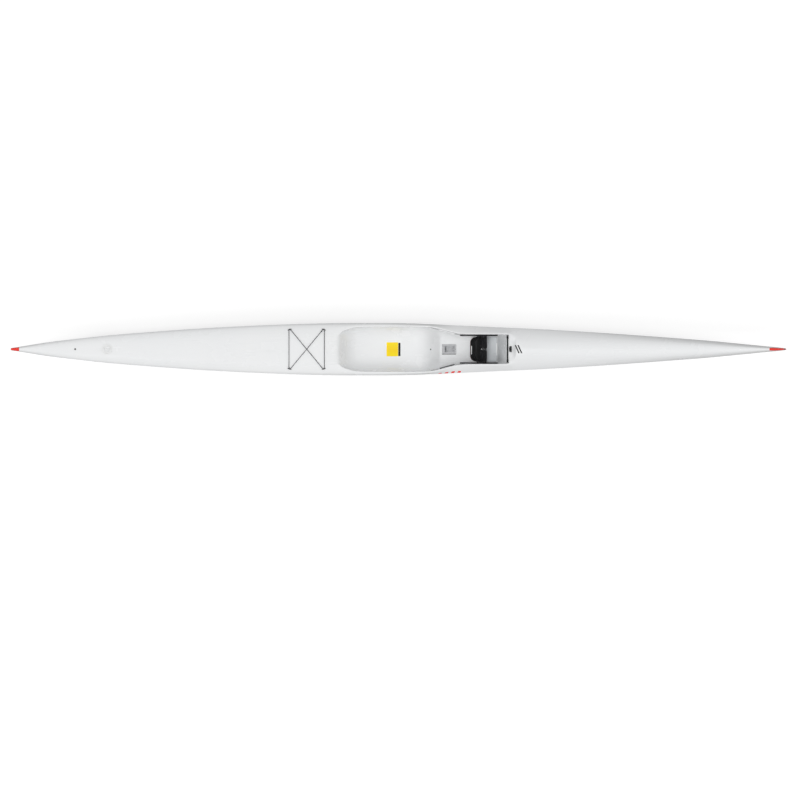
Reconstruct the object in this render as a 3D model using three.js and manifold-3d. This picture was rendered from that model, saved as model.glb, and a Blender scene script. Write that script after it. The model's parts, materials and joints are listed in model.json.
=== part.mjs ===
// A racing surfski: a long, narrow sit-on-top paddle craft with a seat bucket, a footwell with a
// sliding footplate and toe pedals, a self bailer, and a rudder under the stern.
// Millimetres. +X is the bow, +Y port, +Z up. The origin is on the keel, amidships.
import * as THREE from "three";
import { mergeVertices } from "three/addons/utils/BufferGeometryUtils.js";
import Module from "manifold-3d";

const wasm = await Module();
wasm.setup();

// Overall sizes
const LENGTH = 6400;
const BEAM = 430;
const BOW_HEIGHT = 381;
const SHELL_WALL = 4;
const CLEARANCE = 0.3;
const OVERRUN = 20;

// Colours
const WHITE = 0xe9ebee;
const RED = 0xf3261c;
const BLACK = 0x17181c;
const GREY = 0x8d9298;
const STEEL = 0xb9bcc0;
const NYLON = 0xdadcd8;

// Lines of the hull, from the stern (0) to the bow (1): shares of half the beam and of the bow's height
const HALF_BEAM_SHARES = [
  [0, 0.035], [0.002, 0.055], [0.0108, 0.085], [0.0252, 0.163], [0.0509, 0.274], [0.0767, 0.367],
  [0.1283, 0.53], [0.1798, 0.656], [0.2314, 0.767], [0.283, 0.856], [0.3345, 0.926], [0.3863, 0.978],
  [0.43, 1], [0.48, 1], [0.515, 0.986], [0.5409, 0.958], [0.5925, 0.888], [0.6183, 0.852],
  [0.6441, 0.82], [0.6956, 0.747], [0.7473, 0.654], [0.7989, 0.549], [0.8505, 0.436], [0.902, 0.318],
  [0.9278, 0.242], [0.9536, 0.168], [0.9794, 0.092], [0.9911, 0.062], [0.998, 0.04], [1, 0.022],
];
const KEEL_SHARES = [
  [0, 0.228], [0.0025, 0.223], [0.0108, 0.21], [0.033, 0.163], [0.058, 0.12], [0.0963, 0.09],
  [0.1344, 0.058], [0.1977, 0.031], [0.2484, 0.016], [0.3117, 0.008], [0.375, 0], [0.565, 0],
  [0.679, 0.008], [0.73, 0.016], [0.7808, 0.024], [0.8314, 0.041], [0.8822, 0.062], [0.9328, 0.09],
  [0.9581, 0.116], [0.9784, 0.15], [0.9886, 0.195], [0.9938, 0.245], [0.99625, 0.289], [0.99875, 0.37],
  [1, 0.43],
];
const SHEER_SHARES = [
  [0, 0.412], [0.0709, 0.426], [0.147, 0.438], [0.2484, 0.468], [0.3245, 0.491], [0.3828, 0.507],
  [0.42, 0.517], [0.4766, 0.517], [0.5398, 0.513], [0.5716, 0.508], [0.5906, 0.496], [0.6097, 0.486],
  [0.6286, 0.496], [0.6414, 0.511], [0.6541, 0.527], [0.6667, 0.543], [0.6856, 0.575],
  [0.7047, 0.601], [0.7553, 0.643], [0.8188, 0.682], [0.8822, 0.727], [0.9328, 0.765], [1, 0.8],
];
const CROWN_SHARES = [
  [0, 0.47], [0.0015, 0.486], [0.0108, 0.491], [0.0709, 0.504], [0.147, 0.543], [0.2484, 0.594],
  [0.3245, 0.62], [0.3828, 0.65], [0.4195, 0.656], [0.432, 0.638], [0.4513, 0.609], [0.4766, 0.601],
  [0.502, 0.625], [0.5398, 0.648], [0.5716, 0.656], [0.5906, 0.677], [0.6097, 0.687], [0.65, 0.687],
];
const FOREDECK_SHARES = [
  [0.64, 0.846], [0.6541, 0.85], [0.6667, 0.856], [0.7047, 0.874], [0.7553, 0.905], [0.8188, 0.937],
  [0.8822, 0.968], [0.9328, 0.99], [0.97, 1], [0.9911, 0.996], [0.9945, 0.985], [0.99766, 0.95],
  [0.99938, 0.9], [1, 0.855],
];
// Fullness of the sections: exponents of the hull's curve, and of the deck's curve with its roundness
const HULL_FULLNESS = [
  [0, 1.6], [0.1, 1.75], [0.3, 2.15], [0.45, 2.4], [0.65, 2.35], [0.8, 1.75], [0.9, 1.45], [1, 1.35],
];
const DECK_FULLNESS = [[0, 2], [0.42, 2], [0.455, 1.7], [0.53, 1.7], [0.585, 1.1], [0.65, 1.1], [1, 2]];
const DECK_ROUNDNESS = [[0, 0.6], [0.35, 0.5], [0.43, 0.5], [0.53, 0.6], [0.585, 0.95], [0.65, 0.95]];
const FOREDECK_FULLNESS = [[0.64, 1.25], [0.7, 1.4], [0.8, 1.7], [0.9, 2], [1, 2]];
const FOREDECK_ROUNDNESS = [[0.64, 0.85], [0.7, 0.75], [0.8, 0.62], [0.9, 0.55], [1, 0.5]];
// The keel is solid for longer at the fine ends
const KEEL_SOLID_SHARES = [[0, 0.09], [0.06, 0.06], [0.15, 0.02], [0.25, 0.0105], [0.7, 0.0105],
  [0.85, 0.03], [0.93, 0.09], [1, 0.2]];

// Cockpit
const COCKPIT_REAR = -500;
const COCKPIT_FRONT = 897;
const SEAT_HALF = 187;
const WELL_HALF = 122;
const WELL_FLOOR = 24;
const COCKPIT_DEPTH = 226;
const RIM_BAND = 6;
const FLOOR_FLATTENING = 1.01;
const LINE_FADE = 600;
const AFT_FLAT_FADE = 300;
const AFT_FLAT_SHARE = 0.16;
const DECK_LINE_SHARE = 0.62;
const DECK_LINE_MOST_SHARE = 0.93;
const FOREDECK_FLAT_SHARE = 0.06;
const OPENING_SHARES = [
  [0, -0.15], [0.022, 0.31], [0.05, 0.6], [0.093, 0.85], [0.143, 0.97], [0.215, 1], [0.43, 1],
  [0.5, 0.98], [0.545, 0.93], [0.594, 0.74], [0.634, 0.51], [0.673, 0.29], [0.711, 0.08], [0.74, 0],
  [1, 0],
];
const FLOOR_SHARES = [
  [0, 1.01], [0.0143, 0.89], [0.032, 0.69], [0.054, 0.5], [0.079, 0.36], [0.107, 0.265],
  [0.143, 0.208], [0.186, 0.173], [0.236, 0.16], [0.293, 0.16], [0.358, 0.21], [0.4, 0.3],
  [0.437, 0.39], [0.465, 0.43], [0.494, 0.43], [0.52, 0.37], [0.551, 0.25], [0.573, 0.14],
  [0.591, 0.05], [0.605, 0], [0.941, 0], [0.952, 0.14], [0.966, 0.38], [0.98, 0.62], [0.9915, 0.83],
  [1, 1.06],
];
const OPENING_FULLNESS = [[0, 3], [0.1, 2.6], [0.5, 2.6], [0.6, 3.6], [0.72, 4.5], [1, 4.5]];
// The breakwater rises to the foredeck behind an arched foot
const BREAKWATER_FOOT = 905;
const BREAKWATER_BULGE = 38;
const BREAKWATER_RISE = 42;

// Moulded tips at both ends, each with a plug inside the shells
const STERN_TIP_LENGTH = 69;
const BOW_TIP_LENGTH = 57;
const STERN_TIP_SHARES = [0, 0.06, 0.29, 1];
const BOW_TIP_SHARES = [0, 0.44, 0.75, 0.93, 1];
const TIP_PLUG = 24;
const TIP_PLUG_ROOT = 2;
const TIP_PLUG_PLAY = 1.5;

// Stations of both shells: a place along the hull and how many steps lead to it
const SHELL_AFT = STERN_TIP_LENGTH - LENGTH / 2;
const SHELL_FORE = LENGTH / 2 - BOW_TIP_LENGTH;
const BOW_FINING = 543;
const BOW_ENTRY = 93;
const STATIONS = [
  [SHELL_AFT + TIP_PLUG, 1], [-1300, 8], [-540, 4],
  [COCKPIT_REAR, 1], [-340, 6], [0, 4], [345, 8], [493, 2], [814, 3],
  [COCKPIT_FRONT, 5], [990, 5], [1200, 2], [SHELL_FORE - BOW_FINING, 6], [SHELL_FORE - BOW_ENTRY, 4],
  [SHELL_FORE - TIP_PLUG, 1], [SHELL_FORE, 1],
];
const HULL_ANGLES = [0, 16, 33, 49, 64, 78, 90];
const OPENING_ANGLES = [0, 8, 20, 37, 57, 78, 90];
const DECK_EDGE_SHARES = [0, 0.1, 0.45];

// Rudder
const RUDDER_FROM_STERN = 795;
const RUDDER_X = RUDDER_FROM_STERN - LENGTH / 2;
const BLADE_BALANCE = 47;
const BLADE_CHORD = 126;
const BLADE_TIP = -200;
const BLADE_GAP = 3.5;
const BLADE_EDGE = 1.2;
const BLADE_THICKNESS_SHARE = 0.13;
// Depth, leading edge and trailing edge of the blade: shares of its depth and of the root chord
const BLADE_OUTLINE_SHARES = [
  [0, 0, 1], [0.2, 0.06, 1.04], [0.4, 0.18, 1.08], [0.55, 0.31, 1.105], [0.7, 0.46, 1.09],
  [0.82, 0.6, 1.04], [0.91, 0.7, 0.97], [0.97, 0.775, 0.9], [1, 0.82, 0.855],
];
const FOIL_SHARES = [0, 0.02, 0.1, 0.25, 0.45, 0.68, 0.88, 1];
const FOIL_SERIES = [1.4845, -0.63, -1.758, 1.4215, -0.518];
const STOCK_RADIUS = 4.75;
const STOCK_IN_BLADE = 70;
const BUSH_WALL = 1.3;
const BUSH_LENGTH = 14;
const BUSH_FLANGE = 1.6;
const TUBE_WALL = 1.8;
const TUBE_HEIGHT = 92;
const TUBE_FOOT_RADIUS = 19;
const TUBE_FOOT_HEIGHT = 16;
const TUBE_FOOT_EDGE = 3;
const TUBE_FOOT_PLAY = 1.2;
const TILLER_HUB_RADIUS = 11;
const TILLER_HEIGHT = 14;
const TILLER_ARM = 45;
const TILLER_END = 7;
const TILLER_ARM_WIDTH = 10;
const TILLER_ARM_THICKNESS = 6;
const TILLER_SCREW_RADIUS = 2;
const TILLER_SCREW_HEAD = 3.8;
const TILLER_SCREW_HEAD_LENGTH = 3;

// Inspection hatch over the rudder head
const HATCH_RADIUS = 44;
const HATCH_NECK_RADIUS = 38.5;
const HATCH_FLANGE = 3.2;
const HATCH_CHAMFER = 1;
const HATCH_NECK_DEPTH = 14;
const HATCH_NECK_STEP = 4;
const HATCH_WALL = 2.5;
const HATCH_BORE = 31.5;
const HATCH_LEDGE_DEPTH = 1.5;
const HATCH_RECESS = 3.4;
const HATCH_BOSS = 5;
const COVER_THICKNESS = 2.6;
const COVER_DEPTH = 9;
const COVER_DISH_RADIUS = 23;
const COVER_DISH_DEPTH = 7;
const COVER_GRIP = 7;
const SEAL_RADIUS = 0.9;
const SEAL_RING_RADIUS = 34;

// Drain in the aft deck
const DRAIN_FROM_STERN = 532;
const DRAIN_X = DRAIN_FROM_STERN - LENGTH / 2;
const DRAIN_RADIUS = 5;
const DRAIN_FLANGE_RADIUS = 9;
const DRAIN_FLANGE = 1.6;
const DRAIN_DEPTH = 14;
const DRAIN_WALL = 1.7;
const DRAIN_BOSS = 5;
const DRAIN_HEAD_RADIUS = 6.8;
const DRAIN_HEAD = 2.6;
const DRAIN_TAPER = 0.5;

// Rear deck bungee and its pad eyes
const BUNGEE_TO_COCKPIT = 112;
const BUNGEE_REACH = 292;
const BUNGEE_TO_SHEER = 39;
const BUNGEE_FORE = COCKPIT_REAR - BUNGEE_TO_COCKPIT;
const BUNGEE_AFT = BUNGEE_FORE - BUNGEE_REACH;
const BUNGEE_HALF = BEAM / 2 - BUNGEE_TO_SHEER;
const BUNGEE_RADIUS = 2.6;
const BUNGEE_LIFT = 2.5;
const BUNGEE_BEND = 8;
const BUNGEE_BEND_STEPS = 5;
const BUNGEE_LEG_STEPS = 6;
const BUNGEE_CROSSING_REACH = 40;
const KNOT_RADIUS = 6;
const EYE_HALF = 17;
const EYE_BASE = 2.5;
const EYE_LENGTH = 6;
const EYE_ARCH_RADIUS = 10.5;
const EYE_HOLE_RADIUS = 7.2;

// Self bailer in the footwell floor
const BAILER_AFT = 359;
const BAILER_FORE = 475;
const BAILER_HALF = 39;
const BAILER_FLANGE = 2.6;
const BAILER_BED = 0.2;
const BAILER_FLANGE_WIDTH = 9;
const BAILER_WALL = 3;
const BAILER_BOTTOM = 1.4;
const CHUTE_PLATE = 2;
const CHUTE_CHEEK = 1.6;
const CHUTE_CHEEK_HEIGHT = 19;
const CHUTE_PLAY = 0.8;
const CHUTE_SWING_PLAY = 1.8;
const BAILER_PIN_RADIUS = 1.6;
const BAILER_PIN_HEIGHT = 7;
const CHUTE_KNUCKLE_RADIUS = 4;
const LEVER_RADIUS = 1.6;
const LEVER_LENGTH = 62;
const LEVER_HALF = 17;
const LEVER_BEND = 5;
const LEVER_LUG_LENGTH = 7;
const LEVER_LUG_WIDTH = 5;
const LEVER_LUG_HEIGHT = 6;
const LEVER_X = 380;

// Footrest rails with a rack on their lower edge
const RAIL_TO_FRONT = 78;
const RAIL_LENGTH = 312;
const RAIL_BOTTOM = 120;
const RAIL_HEIGHT = 22;
const RAIL_THICKNESS = 10;
const RAIL_END = 6;
const RAIL_SLOT_HEIGHT = 11.6;
const RAIL_SLOT_DEPTH = 5.4;
const RACK_PITCH = 18;
const RACK_NOTCH = 9;
const RACK_DEPTH = 4;

// Footplate, toe pedals and strap
const HEEL_TO_FRONT = 275;
const PLATE_HEEL_Z = 34;
const PLATE_TILT = 60;
const PLATE_HALF = 103;
const PLATE_LENGTH = 118;
const PLATE_THICKNESS = 5;
const PLATE_CORNER = 46;
const HEEL_RELIEF = 14;
const HINGE_ALONG = 127;
const HINGE_ROD_RADIUS = 3;
const KNUCKLE_RADIUS = 6;
const KNUCKLE_LUG = 8;
const PLATE_KNUCKLES = [[-103, -92], [-8, 8], [92, 103]];
const PEDAL_KNUCKLES = [[16, 34], [68, 84]];
const PEDAL_START = 136;
const PEDAL_END = 208;
const PEDAL_INNER = 5;
const PEDAL_WAIST = 98;
const PEDAL_OUTER = 112;
const PEDAL_CORNER = 14;
const GRIP_START = 150;
const GRIP_SPACING = 18;
const GRIP_COUNT = 3;
const GRIP_SIZE = 3;
const LINE_HOLE_ALONG = 184;
const LINE_HOLE_ACROSS = 103;
const SLIDER_PAST_HEEL = 23;
const SLIDER_LENGTH = 60;
const SLIDER_CHEEK = 3.4;
const SLIDER_LUG_WIDTH = 20;
const SLIDER_LUG_START = 88;
const SLIDER_LUG_END = 112;
const SLIDER_LUG_THICKNESS = 7;
const CHEEK_OUTLINE = [[84, -3], [122, -3], [128, -12], [116, -27], [88, -27], [84, -20]];
const PAWL_PAST_HEEL = 28.5;
const PAWL_REACH = 27.5;
const PAWL_PIVOT_DROP = 12;
const PAWL_RADIUS = 5;
const PAWL_PIN_RADIUS = 2;
const PAWL_WIDTH = 5;
const PAWL_TOOTH_FORE = 4.2;
const PAWL_TOOTH_AFT = 2.3;
const PAWL_ARM = 4;
const PAWL_TAIL = 22;
const PAWL_TAIL_DROP = 12;
const STRAP_WIDTH = 78;
const STRAP_START = 38;
const STRAP_HEIGHT = 57;
const STRAP_THICKNESS = 3;
const STRAP_HALF = 98;
const STRAP_ROUND = 46;

// Rudder lines, their guide tubes and the sleeves on the footwell's walls
const LINE_RADIUS = 1.1;
const LINE_KNOT_RADIUS = 3.4;
const GUIDE_BORE = 1.6;
const GUIDE_RADIUS = 2.6;
const GUIDE_STEPS = 14;
const SLEEVE_RADIUS = 4.6;
const GUIDE_FROM_RUDDER = 95;
const GUIDE_FORE = 352;
const SLEEVE_LAP = 12;
const SLEEVE_PLACES = [384, 410, 436, 462];
const SLEEVE_HEIGHT = 200;
const SLEEVE_OFF_WALL = 9;
// Shares of the way forward, of half the beam there, and of the height from keel to sheer
const GUIDE_ROUTE_SHARES = [
  [0.041, 0.55, 0.84], [0.154, 0.76, 0.8], [0.304, 0.85, 0.75], [0.492, 0.88, 0.7],
  [0.68, 0.89, 0.67], [0.868, 0.895, 0.66], [0.943, 0.9, 0.74],
];

// Bar across the front of the cockpit, and the leash eye before the breakwater
const BAR_X = 900;
const BAR_RADIUS = 6;
const BAR_HALF = 110;
const BAR_RISE = 8;
const BAR_FOOT_LENGTH = 16;
const BAR_FOOT_WIDTH = 24;
const BAR_FOOT_HEIGHT = 16;
const LEASH_X = 929;
const LEASH_RADIUS = 24;
const LEASH_HEIGHT = 38;
const LEASH_THICKNESS = 5;
const LEASH_TILT = 68;
const LEASH_HOLE_RADIUS = 7;
const LEASH_HOLE_HEIGHT = 21;
const LEASH_FOOT = 10;
const LEASH_FOOT_HEIGHT = 7;

const MERGE = 1e-4;
const TUBE_SIDES = 16;
const HATCH_SIDES = 24;
const CURVE_SIDES = 5;

const toRadians = THREE.MathUtils.degToRad;
const smooth = (x, from, to) => THREE.MathUtils.smoothstep(x, from, to);
const mix = THREE.MathUtils.lerp;

// A smooth curve through hand-chosen points that never overshoots them.
function curveThrough(points) {
  const slopes = points.slice(1).map((p, i) => (p[1] - points[i][1]) / (p[0] - points[i][0]));
  const tangents = points.map((_, i) => {
    const before = slopes[Math.max(i - 1, 0)];
    const after = slopes[Math.min(i, slopes.length - 1)];
    return before * after <= 0 ? 0 : (2 * before * after) / (before + after);
  });
  return (at) => {
    const x = Math.min(Math.max(at, points[0][0]), points.at(-1)[0]);
    const i = Math.min(Math.max(points.findIndex((p) => p[0] >= x) - 1, 0), slopes.length - 1);
    const width = points[i + 1][0] - points[i][0];
    const t = (x - points[i][0]) / width;
    const [a, b] = [points[i][1], points[i + 1][1]];
    return (
      a * (1 + 2 * t) * (1 - t) ** 2 + b * t * t * (3 - 2 * t) +
      width * (tangents[i] * t * (1 - t) ** 2 - tangents[i + 1] * t * t * (1 - t))
    );
  };
}

const alongHull = (x) => (x + LENGTH / 2) / LENGTH;
const alongCockpit = (x) => (x - COCKPIT_REAR) / (COCKPIT_FRONT - COCKPIT_REAR);
function hullCurve(shares, size = 1) {
  const curve = curveThrough(shares);
  return (x) => size * curve(alongHull(x));
}
function cockpitCurve(shares) {
  const curve = curveThrough(shares);
  return (x) => curve(alongCockpit(x));
}

const halfBeam = hullCurve(HALF_BEAM_SHARES, BEAM / 2);
const keel = hullCurve(KEEL_SHARES, BOW_HEIGHT);
const sheer = hullCurve(SHEER_SHARES, BOW_HEIGHT);
const rimCrown = hullCurve(CROWN_SHARES, BOW_HEIGHT);
const foredeckCrown = hullCurve(FOREDECK_SHARES, BOW_HEIGHT);
const keelSolid = hullCurve(KEEL_SOLID_SHARES, BOW_HEIGHT);
const hullFullness = hullCurve(HULL_FULLNESS);
const deckFullness = hullCurve(DECK_FULLNESS);
const deckRoundness = hullCurve(DECK_ROUNDNESS);
const foredeckFullness = hullCurve(FOREDECK_FULLNESS);
const foredeckRoundness = hullCurve(FOREDECK_ROUNDNESS);
const openingShare = cockpitCurve(OPENING_SHARES);
const floorShare = cockpitCurve(FLOOR_SHARES);
const openingFullness = cockpitCurve(OPENING_FULLNESS);

const openingHalf = (x) => mix(WELL_HALF, SEAT_HALF, openingShare(x));
const floorHeight = (x) => WELL_FLOOR + COCKPIT_DEPTH * floorShare(x);

// Half width of the deck's inner lines: the opening's edge, fading to a share of the beam beyond it.
function lineHalf(x) {
  const beyond = Math.max(COCKPIT_REAR - x, x - COCKPIT_FRONT, 0);
  return mix(openingHalf(x), DECK_LINE_SHARE * halfBeam(x), smooth(beyond, 0, LINE_FADE));
}

// Height share of a deck section at a share of its half width, flat up to its shoulder.
function sectionShare(across, flat, fullness, roundness) {
  const t = Math.min(Math.max((across - flat) / (1 - flat), 0), 1);
  return (1 - t ** fullness) ** roundness;
}

// Height of the deck before the cockpit is sunk into it, lowered by an inset from the outer skin.
function deckSurface(x, y, inset = 0) {
  const half = halfBeam(x) - inset;
  const across = Math.min(Math.abs(y) / half, 1);
  const flatHalf = Math.min(openingHalf(x) + RIM_BAND + inset, half * (1 - inset / BEAM));
  const aft = smooth(COCKPIT_REAR - x, 0, AFT_FLAT_FADE);
  const flat = Math.min(mix(flatHalf / half, AFT_FLAT_SHARE, aft), 1 - inset / BEAM);
  const rimRise = rimCrown(x) - inset - sheer(x);
  const rim = rimRise * sectionShare(across, flat, deckFullness(x), deckRoundness(x));
  const fore = foredeckCrown(x) - inset - sheer(x);
  const ridge = fore * sectionShare(across, FOREDECK_FLAT_SHARE, foredeckFullness(x), foredeckRoundness(x));
  const arch = Math.max(1 - (y / WELL_HALF) ** 2, 0);
  const foot = BREAKWATER_FOOT + BREAKWATER_BULGE * arch + inset;
  return sheer(x) + mix(rim, ridge, smooth(x, foot, foot + BREAKWATER_RISE));
}

// How deep the cockpit is sunk at a station, with a wall's thickness taken fore and aft as well.
function sunkDepth(x, inset = 0) {
  const floors = [x - inset, x, x + inset].filter((at) => at >= COCKPIT_REAR && at <= COCKPIT_FRONT);
  const floor = Math.min(...floors.map(floorHeight)) - inset;
  return Math.max(deckSurface(x, 0, inset) - floor, 0);
}

// Half width of the opening at a height, on the inside of its wall.
function wallAt(x, z) {
  const depth = sunkDepth(x) * FLOOR_FLATTENING;
  const power = openingFullness(x);
  const down = Math.min((rimCrown(x) - z) / depth, 1);
  return openingHalf(x) * (1 - down ** power) ** (1 / power);
}

const mirrored = (half) => [
  ...half.map(([y, z]) => [-y, z]),
  ...half.slice(0, -1).reverse(),
];

// Half a hull section from the sheer to the keel.
function hullHalf(x, inset = 0) {
  const half = halfBeam(x) - inset;
  const top = sheer(x) - CLEARANCE / 2;
  const bottom = keel(x) + (inset ? Math.max(keelSolid(x), SHELL_WALL) + inset - SHELL_WALL : 0);
  const power = 2 / hullFullness(x);
  return HULL_ANGLES.map((angle) => {
    const t = toRadians(angle);
    return [half * Math.sin(t) ** power, top - (top - bottom) * Math.cos(t) ** power];
  }).reverse();
}

// Half a deck section from the sheer over the rim to the middle of the floor.
function deckHalf(x, inset = 0) {
  const half = halfBeam(x) - inset;
  const open = Math.min(lineHalf(x) + inset, DECK_LINE_MOST_SHARE * half);
  const depth = sunkDepth(x, inset);
  const power = 2 / openingFullness(x);
  const edge = DECK_EDGE_SHARES.map((share) => half - share * (half - open));
  const outside = [...edge, Math.min(open + RIM_BAND, mix(open, edge.at(-1), 1 / 2))];
  const points = outside.map((y, i) => [y, (i ? deckSurface(x, y, inset) : sheer(x)) + CLEARANCE / 2]);
  OPENING_ANGLES.forEach((angle) => {
    const t = toRadians(angle);
    const y = open * Math.cos(t) ** power;
    const sunk = depth * Math.min(Math.sin(t) ** power * FLOOR_FLATTENING, 1);
    points.push([y, deckSurface(x, y, inset) - sunk + CLEARANCE / 2]);
  });
  points.at(-1)[0] = 0;
  return points;
}

const row = (x, section) => section.map(([y, z]) => new THREE.Vector3(x, y, z));

function stations() {
  const places = [SHELL_AFT];
  for (const [end, steps] of STATIONS) {
    const start = places.at(-1);
    for (let i = 1; i <= steps; i++) places.push(mix(start, end, i / steps));
  }
  return places;
}

// The faces between rings of points, each joined to the next, and the last to the first if closed.
function ringSides(rings, closed = false) {
  const count = rings[0].length;
  const total = rings.length * count;
  const faces = [];
  for (let i = 0; i < rings.length - (closed ? 0 : 1); i++) {
    for (let j = 0; j < count; j++) {
      const [a, b] = [i * count + j, i * count + ((j + 1) % count)];
      const [c, d] = [(a + count) % total, (b + count) % total];
      faces.push(a, b, d, a, d, c);
    }
  }
  return faces;
}

function solidFrom(points, faces) {
  const geometry = new THREE.BufferGeometry();
  const places = points.flatMap((p) => p.toArray());
  geometry.setAttribute("position", new THREE.Float32BufferAttribute(places, 3));
  geometry.setIndex(faces);
  return outward(geometry);
}

// Turns a closed geometry's faces outwards.
function outward(geometry) {
  const p = geometry.attributes.position;
  const f = geometry.index.array;
  const corner = (i) => new THREE.Vector3().fromBufferAttribute(p, f[i]);
  let volume = 0;
  for (let i = 0; i < f.length; i += 3) volume += corner(i).dot(corner(i + 1).cross(corner(i + 2)));
  if (volume < 0) for (let i = 0; i < f.length; i += 3) [f[i], f[i + 1]] = [f[i + 1], f[i]];
  return geometry;
}

// A solid through rings of points, closed at each end by a fan round the ring's middle.
function loft(rings) {
  const count = rings[0].length;
  const points = rings.flat();
  const faces = ringSides(rings);
  [rings[0], rings.at(-1)].forEach((ring, end) => {
    const middle = ring.reduce((sum, p) => sum.add(p), new THREE.Vector3()).divideScalar(count);
    const base = end * (rings.length - 1) * count;
    points.push(middle);
    for (let j = 0; j < count; j++) {
      const edge = [base + j, base + ((j + 1) % count)];
      faces.push(...(end ? edge : edge.toReversed()), points.length - 1);
    }
  });
  return solidFrom(points, faces);
}

// A thin shell between an outer and an inner grid, both from starboard to port at each station.
function shell(outer, inner) {
  const across = outer[0].length;
  const rings = outer.map((points, i) => [...points, ...inner[i].toReversed()]);
  const faces = ringSides(rings);
  const last = (rings.length - 1) * rings[0].length;
  for (let j = 0; j < across - 1; j++) {
    const [a, b, c, d] = [j, j + 1, 2 * across - 2 - j, 2 * across - 1 - j];
    faces.push(a, c, b, a, d, c);
    faces.push(...[a, b, c, a, c, d].map((v) => last + v));
  }
  return solidFrom(rings.flat(), faces);
}

// Solids for cutting and joining
function solidOf(geometry) {
  const bare = geometry.clone();
  bare.deleteAttribute("normal");
  bare.deleteAttribute("uv");
  const merged = mergeVertices(bare, MERGE);
  return new wasm.Manifold(
    new wasm.Mesh({
      numProp: 3,
      vertProperties: Float32Array.from(merged.attributes.position.array),
      triVerts: Uint32Array.from(merged.index.array),
    }),
  );
}
function geometryOf(solid) {
  const mesh = solid.getMesh();
  const geometry = new THREE.BufferGeometry();
  geometry.setAttribute("position", new THREE.BufferAttribute(mesh.vertProperties, 3));
  geometry.setIndex(new THREE.BufferAttribute(mesh.triVerts, 1));
  return geometry;
}
const cut = (from, ...tools) => geometryOf(tools.reduce((a, b) => a.subtract(solidOf(b)), solidOf(from)));
const join = (...pieces) => geometryOf(pieces.map(solidOf).reduce((a, b) => a.add(b)));

function box(x, y, z) {
  const size = [x, y, z].map(([low, high]) => high - low);
  const centre = [x, y, z].map(([low, high]) => (low + high) / 2);
  return new THREE.BoxGeometry(...size).translate(...centre);
}
function drum(radius, bottom, top, x, segments = TUBE_SIDES) {
  return new THREE.CylinderGeometry(radius, radius, top - bottom, segments)
    .rotateX(Math.PI / 2).translate(x, 0, (bottom + top) / 2);
}
// A rod across the hull, and one along it
function rodAcross(radius, from, to, x, z, segments = 12) {
  return new THREE.CylinderGeometry(radius, radius, to - from, segments).translate(x, (from + to) / 2, z);
}
function rodAlong(radius, from, to, y, z, segments = 12) {
  return new THREE.CylinderGeometry(radius, radius, to - from, segments)
    .rotateZ(Math.PI / 2).translate((from + to) / 2, y, z);
}
// Turns a closed outline of radii and heights round the vertical.
function turned(outline, x, z, segments) {
  const points = [...outline, outline[0]].map(([r, h]) => new THREE.Vector2(r, h));
  const lathe = new THREE.LatheGeometry(points, segments).rotateX(Math.PI / 2).translate(x, 0, z);
  lathe.deleteAttribute("normal");
  lathe.deleteAttribute("uv");
  const merged = mergeVertices(lathe, MERGE);
  const corners = merged.index.array;
  const faces = [];
  for (let i = 0; i < corners.length; i += 3) {
    const face = [corners[i], corners[i + 1], corners[i + 2]];
    if (new Set(face).size === 3) faces.push(...face);
  }
  merged.setIndex(faces);
  return outward(merged);
}
// Extrudes an outline: in X and Y upwards, in X and Z across, or in Y and Z along.
function extruded(outline, from, to, holes = []) {
  const shape = outline instanceof THREE.Shape ? outline
    : new THREE.Shape(outline.map(([x, y]) => new THREE.Vector2(x, y)));
  shape.holes = holes;
  const settings = { depth: to - from, bevelEnabled: false, curveSegments: CURVE_SIDES };
  return new THREE.ExtrudeGeometry(shape, settings).translate(0, 0, from);
}
const across = (outline, from, to, holes) => extruded(outline, -to, -from, holes).rotateX(Math.PI / 2);
const along = (outline, from, to, holes) => extruded(outline, from, to, holes)
  .rotateY(Math.PI / 2).rotateX(Math.PI / 2);
function circle(x, y, radius) {
  return new THREE.Path().absarc(x, y, radius, 0, 2 * Math.PI);
}
// The same piece on the other side of the hull
function onSide(geometry, side) {
  if (side > 0) return geometry;
  const bare = geometry.clone();
  bare.deleteAttribute("normal");
  bare.deleteAttribute("uv");
  return outward(mergeVertices(bare, MERGE).scale(1, -1, 1));
}

// A round tube or rod through points, with flat ends; a closed loop joins its ends.
function sweep(points, sides, radius, bore = 0, closed = false) {
  const count = points.length;
  const at = (i) => points[closed ? (i + count) % count : Math.min(Math.max(i, 0), count - 1)];
  const rings = (size) => {
    let up = new THREE.Vector3(0, 0, 1);
    return points.map((point, i) => {
      const ahead = new THREE.Vector3().subVectors(at(i + 1), at(i - 1)).normalize();
      const side = new THREE.Vector3().crossVectors(ahead, up).normalize();
      up = new THREE.Vector3().crossVectors(side, ahead).normalize();
      return Array.from({ length: sides }, (_, k) => {
        const angle = (2 * Math.PI * k) / sides;
        return point.clone()
          .addScaledVector(side, size * Math.cos(angle)).addScaledVector(up, size * Math.sin(angle));
      });
    });
  };
  const outside = rings(radius);
  if (closed) return solidFrom(outside.flat(), ringSides(outside, true));
  if (!bore) return loft(outside);
  const faces = ringSides(outside);
  const shift = count * sides;
  const lining = faces.map((v) => v + shift);
  for (let i = 0; i < lining.length; i += 3) faces.push(lining[i], lining[i + 2], lining[i + 1]);
  for (let j = 0; j < sides; j++) {
    const k = (j + 1) % sides;
    const last = (count - 1) * sides;
    faces.push(k, j, shift + j, k, shift + j, shift + k);
    faces.push(last + j, last + k, last + shift + k, last + j, last + shift + k, last + shift + j);
  }
  return solidFrom([...outside, ...rings(bore)].flat(), faces);
}

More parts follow.
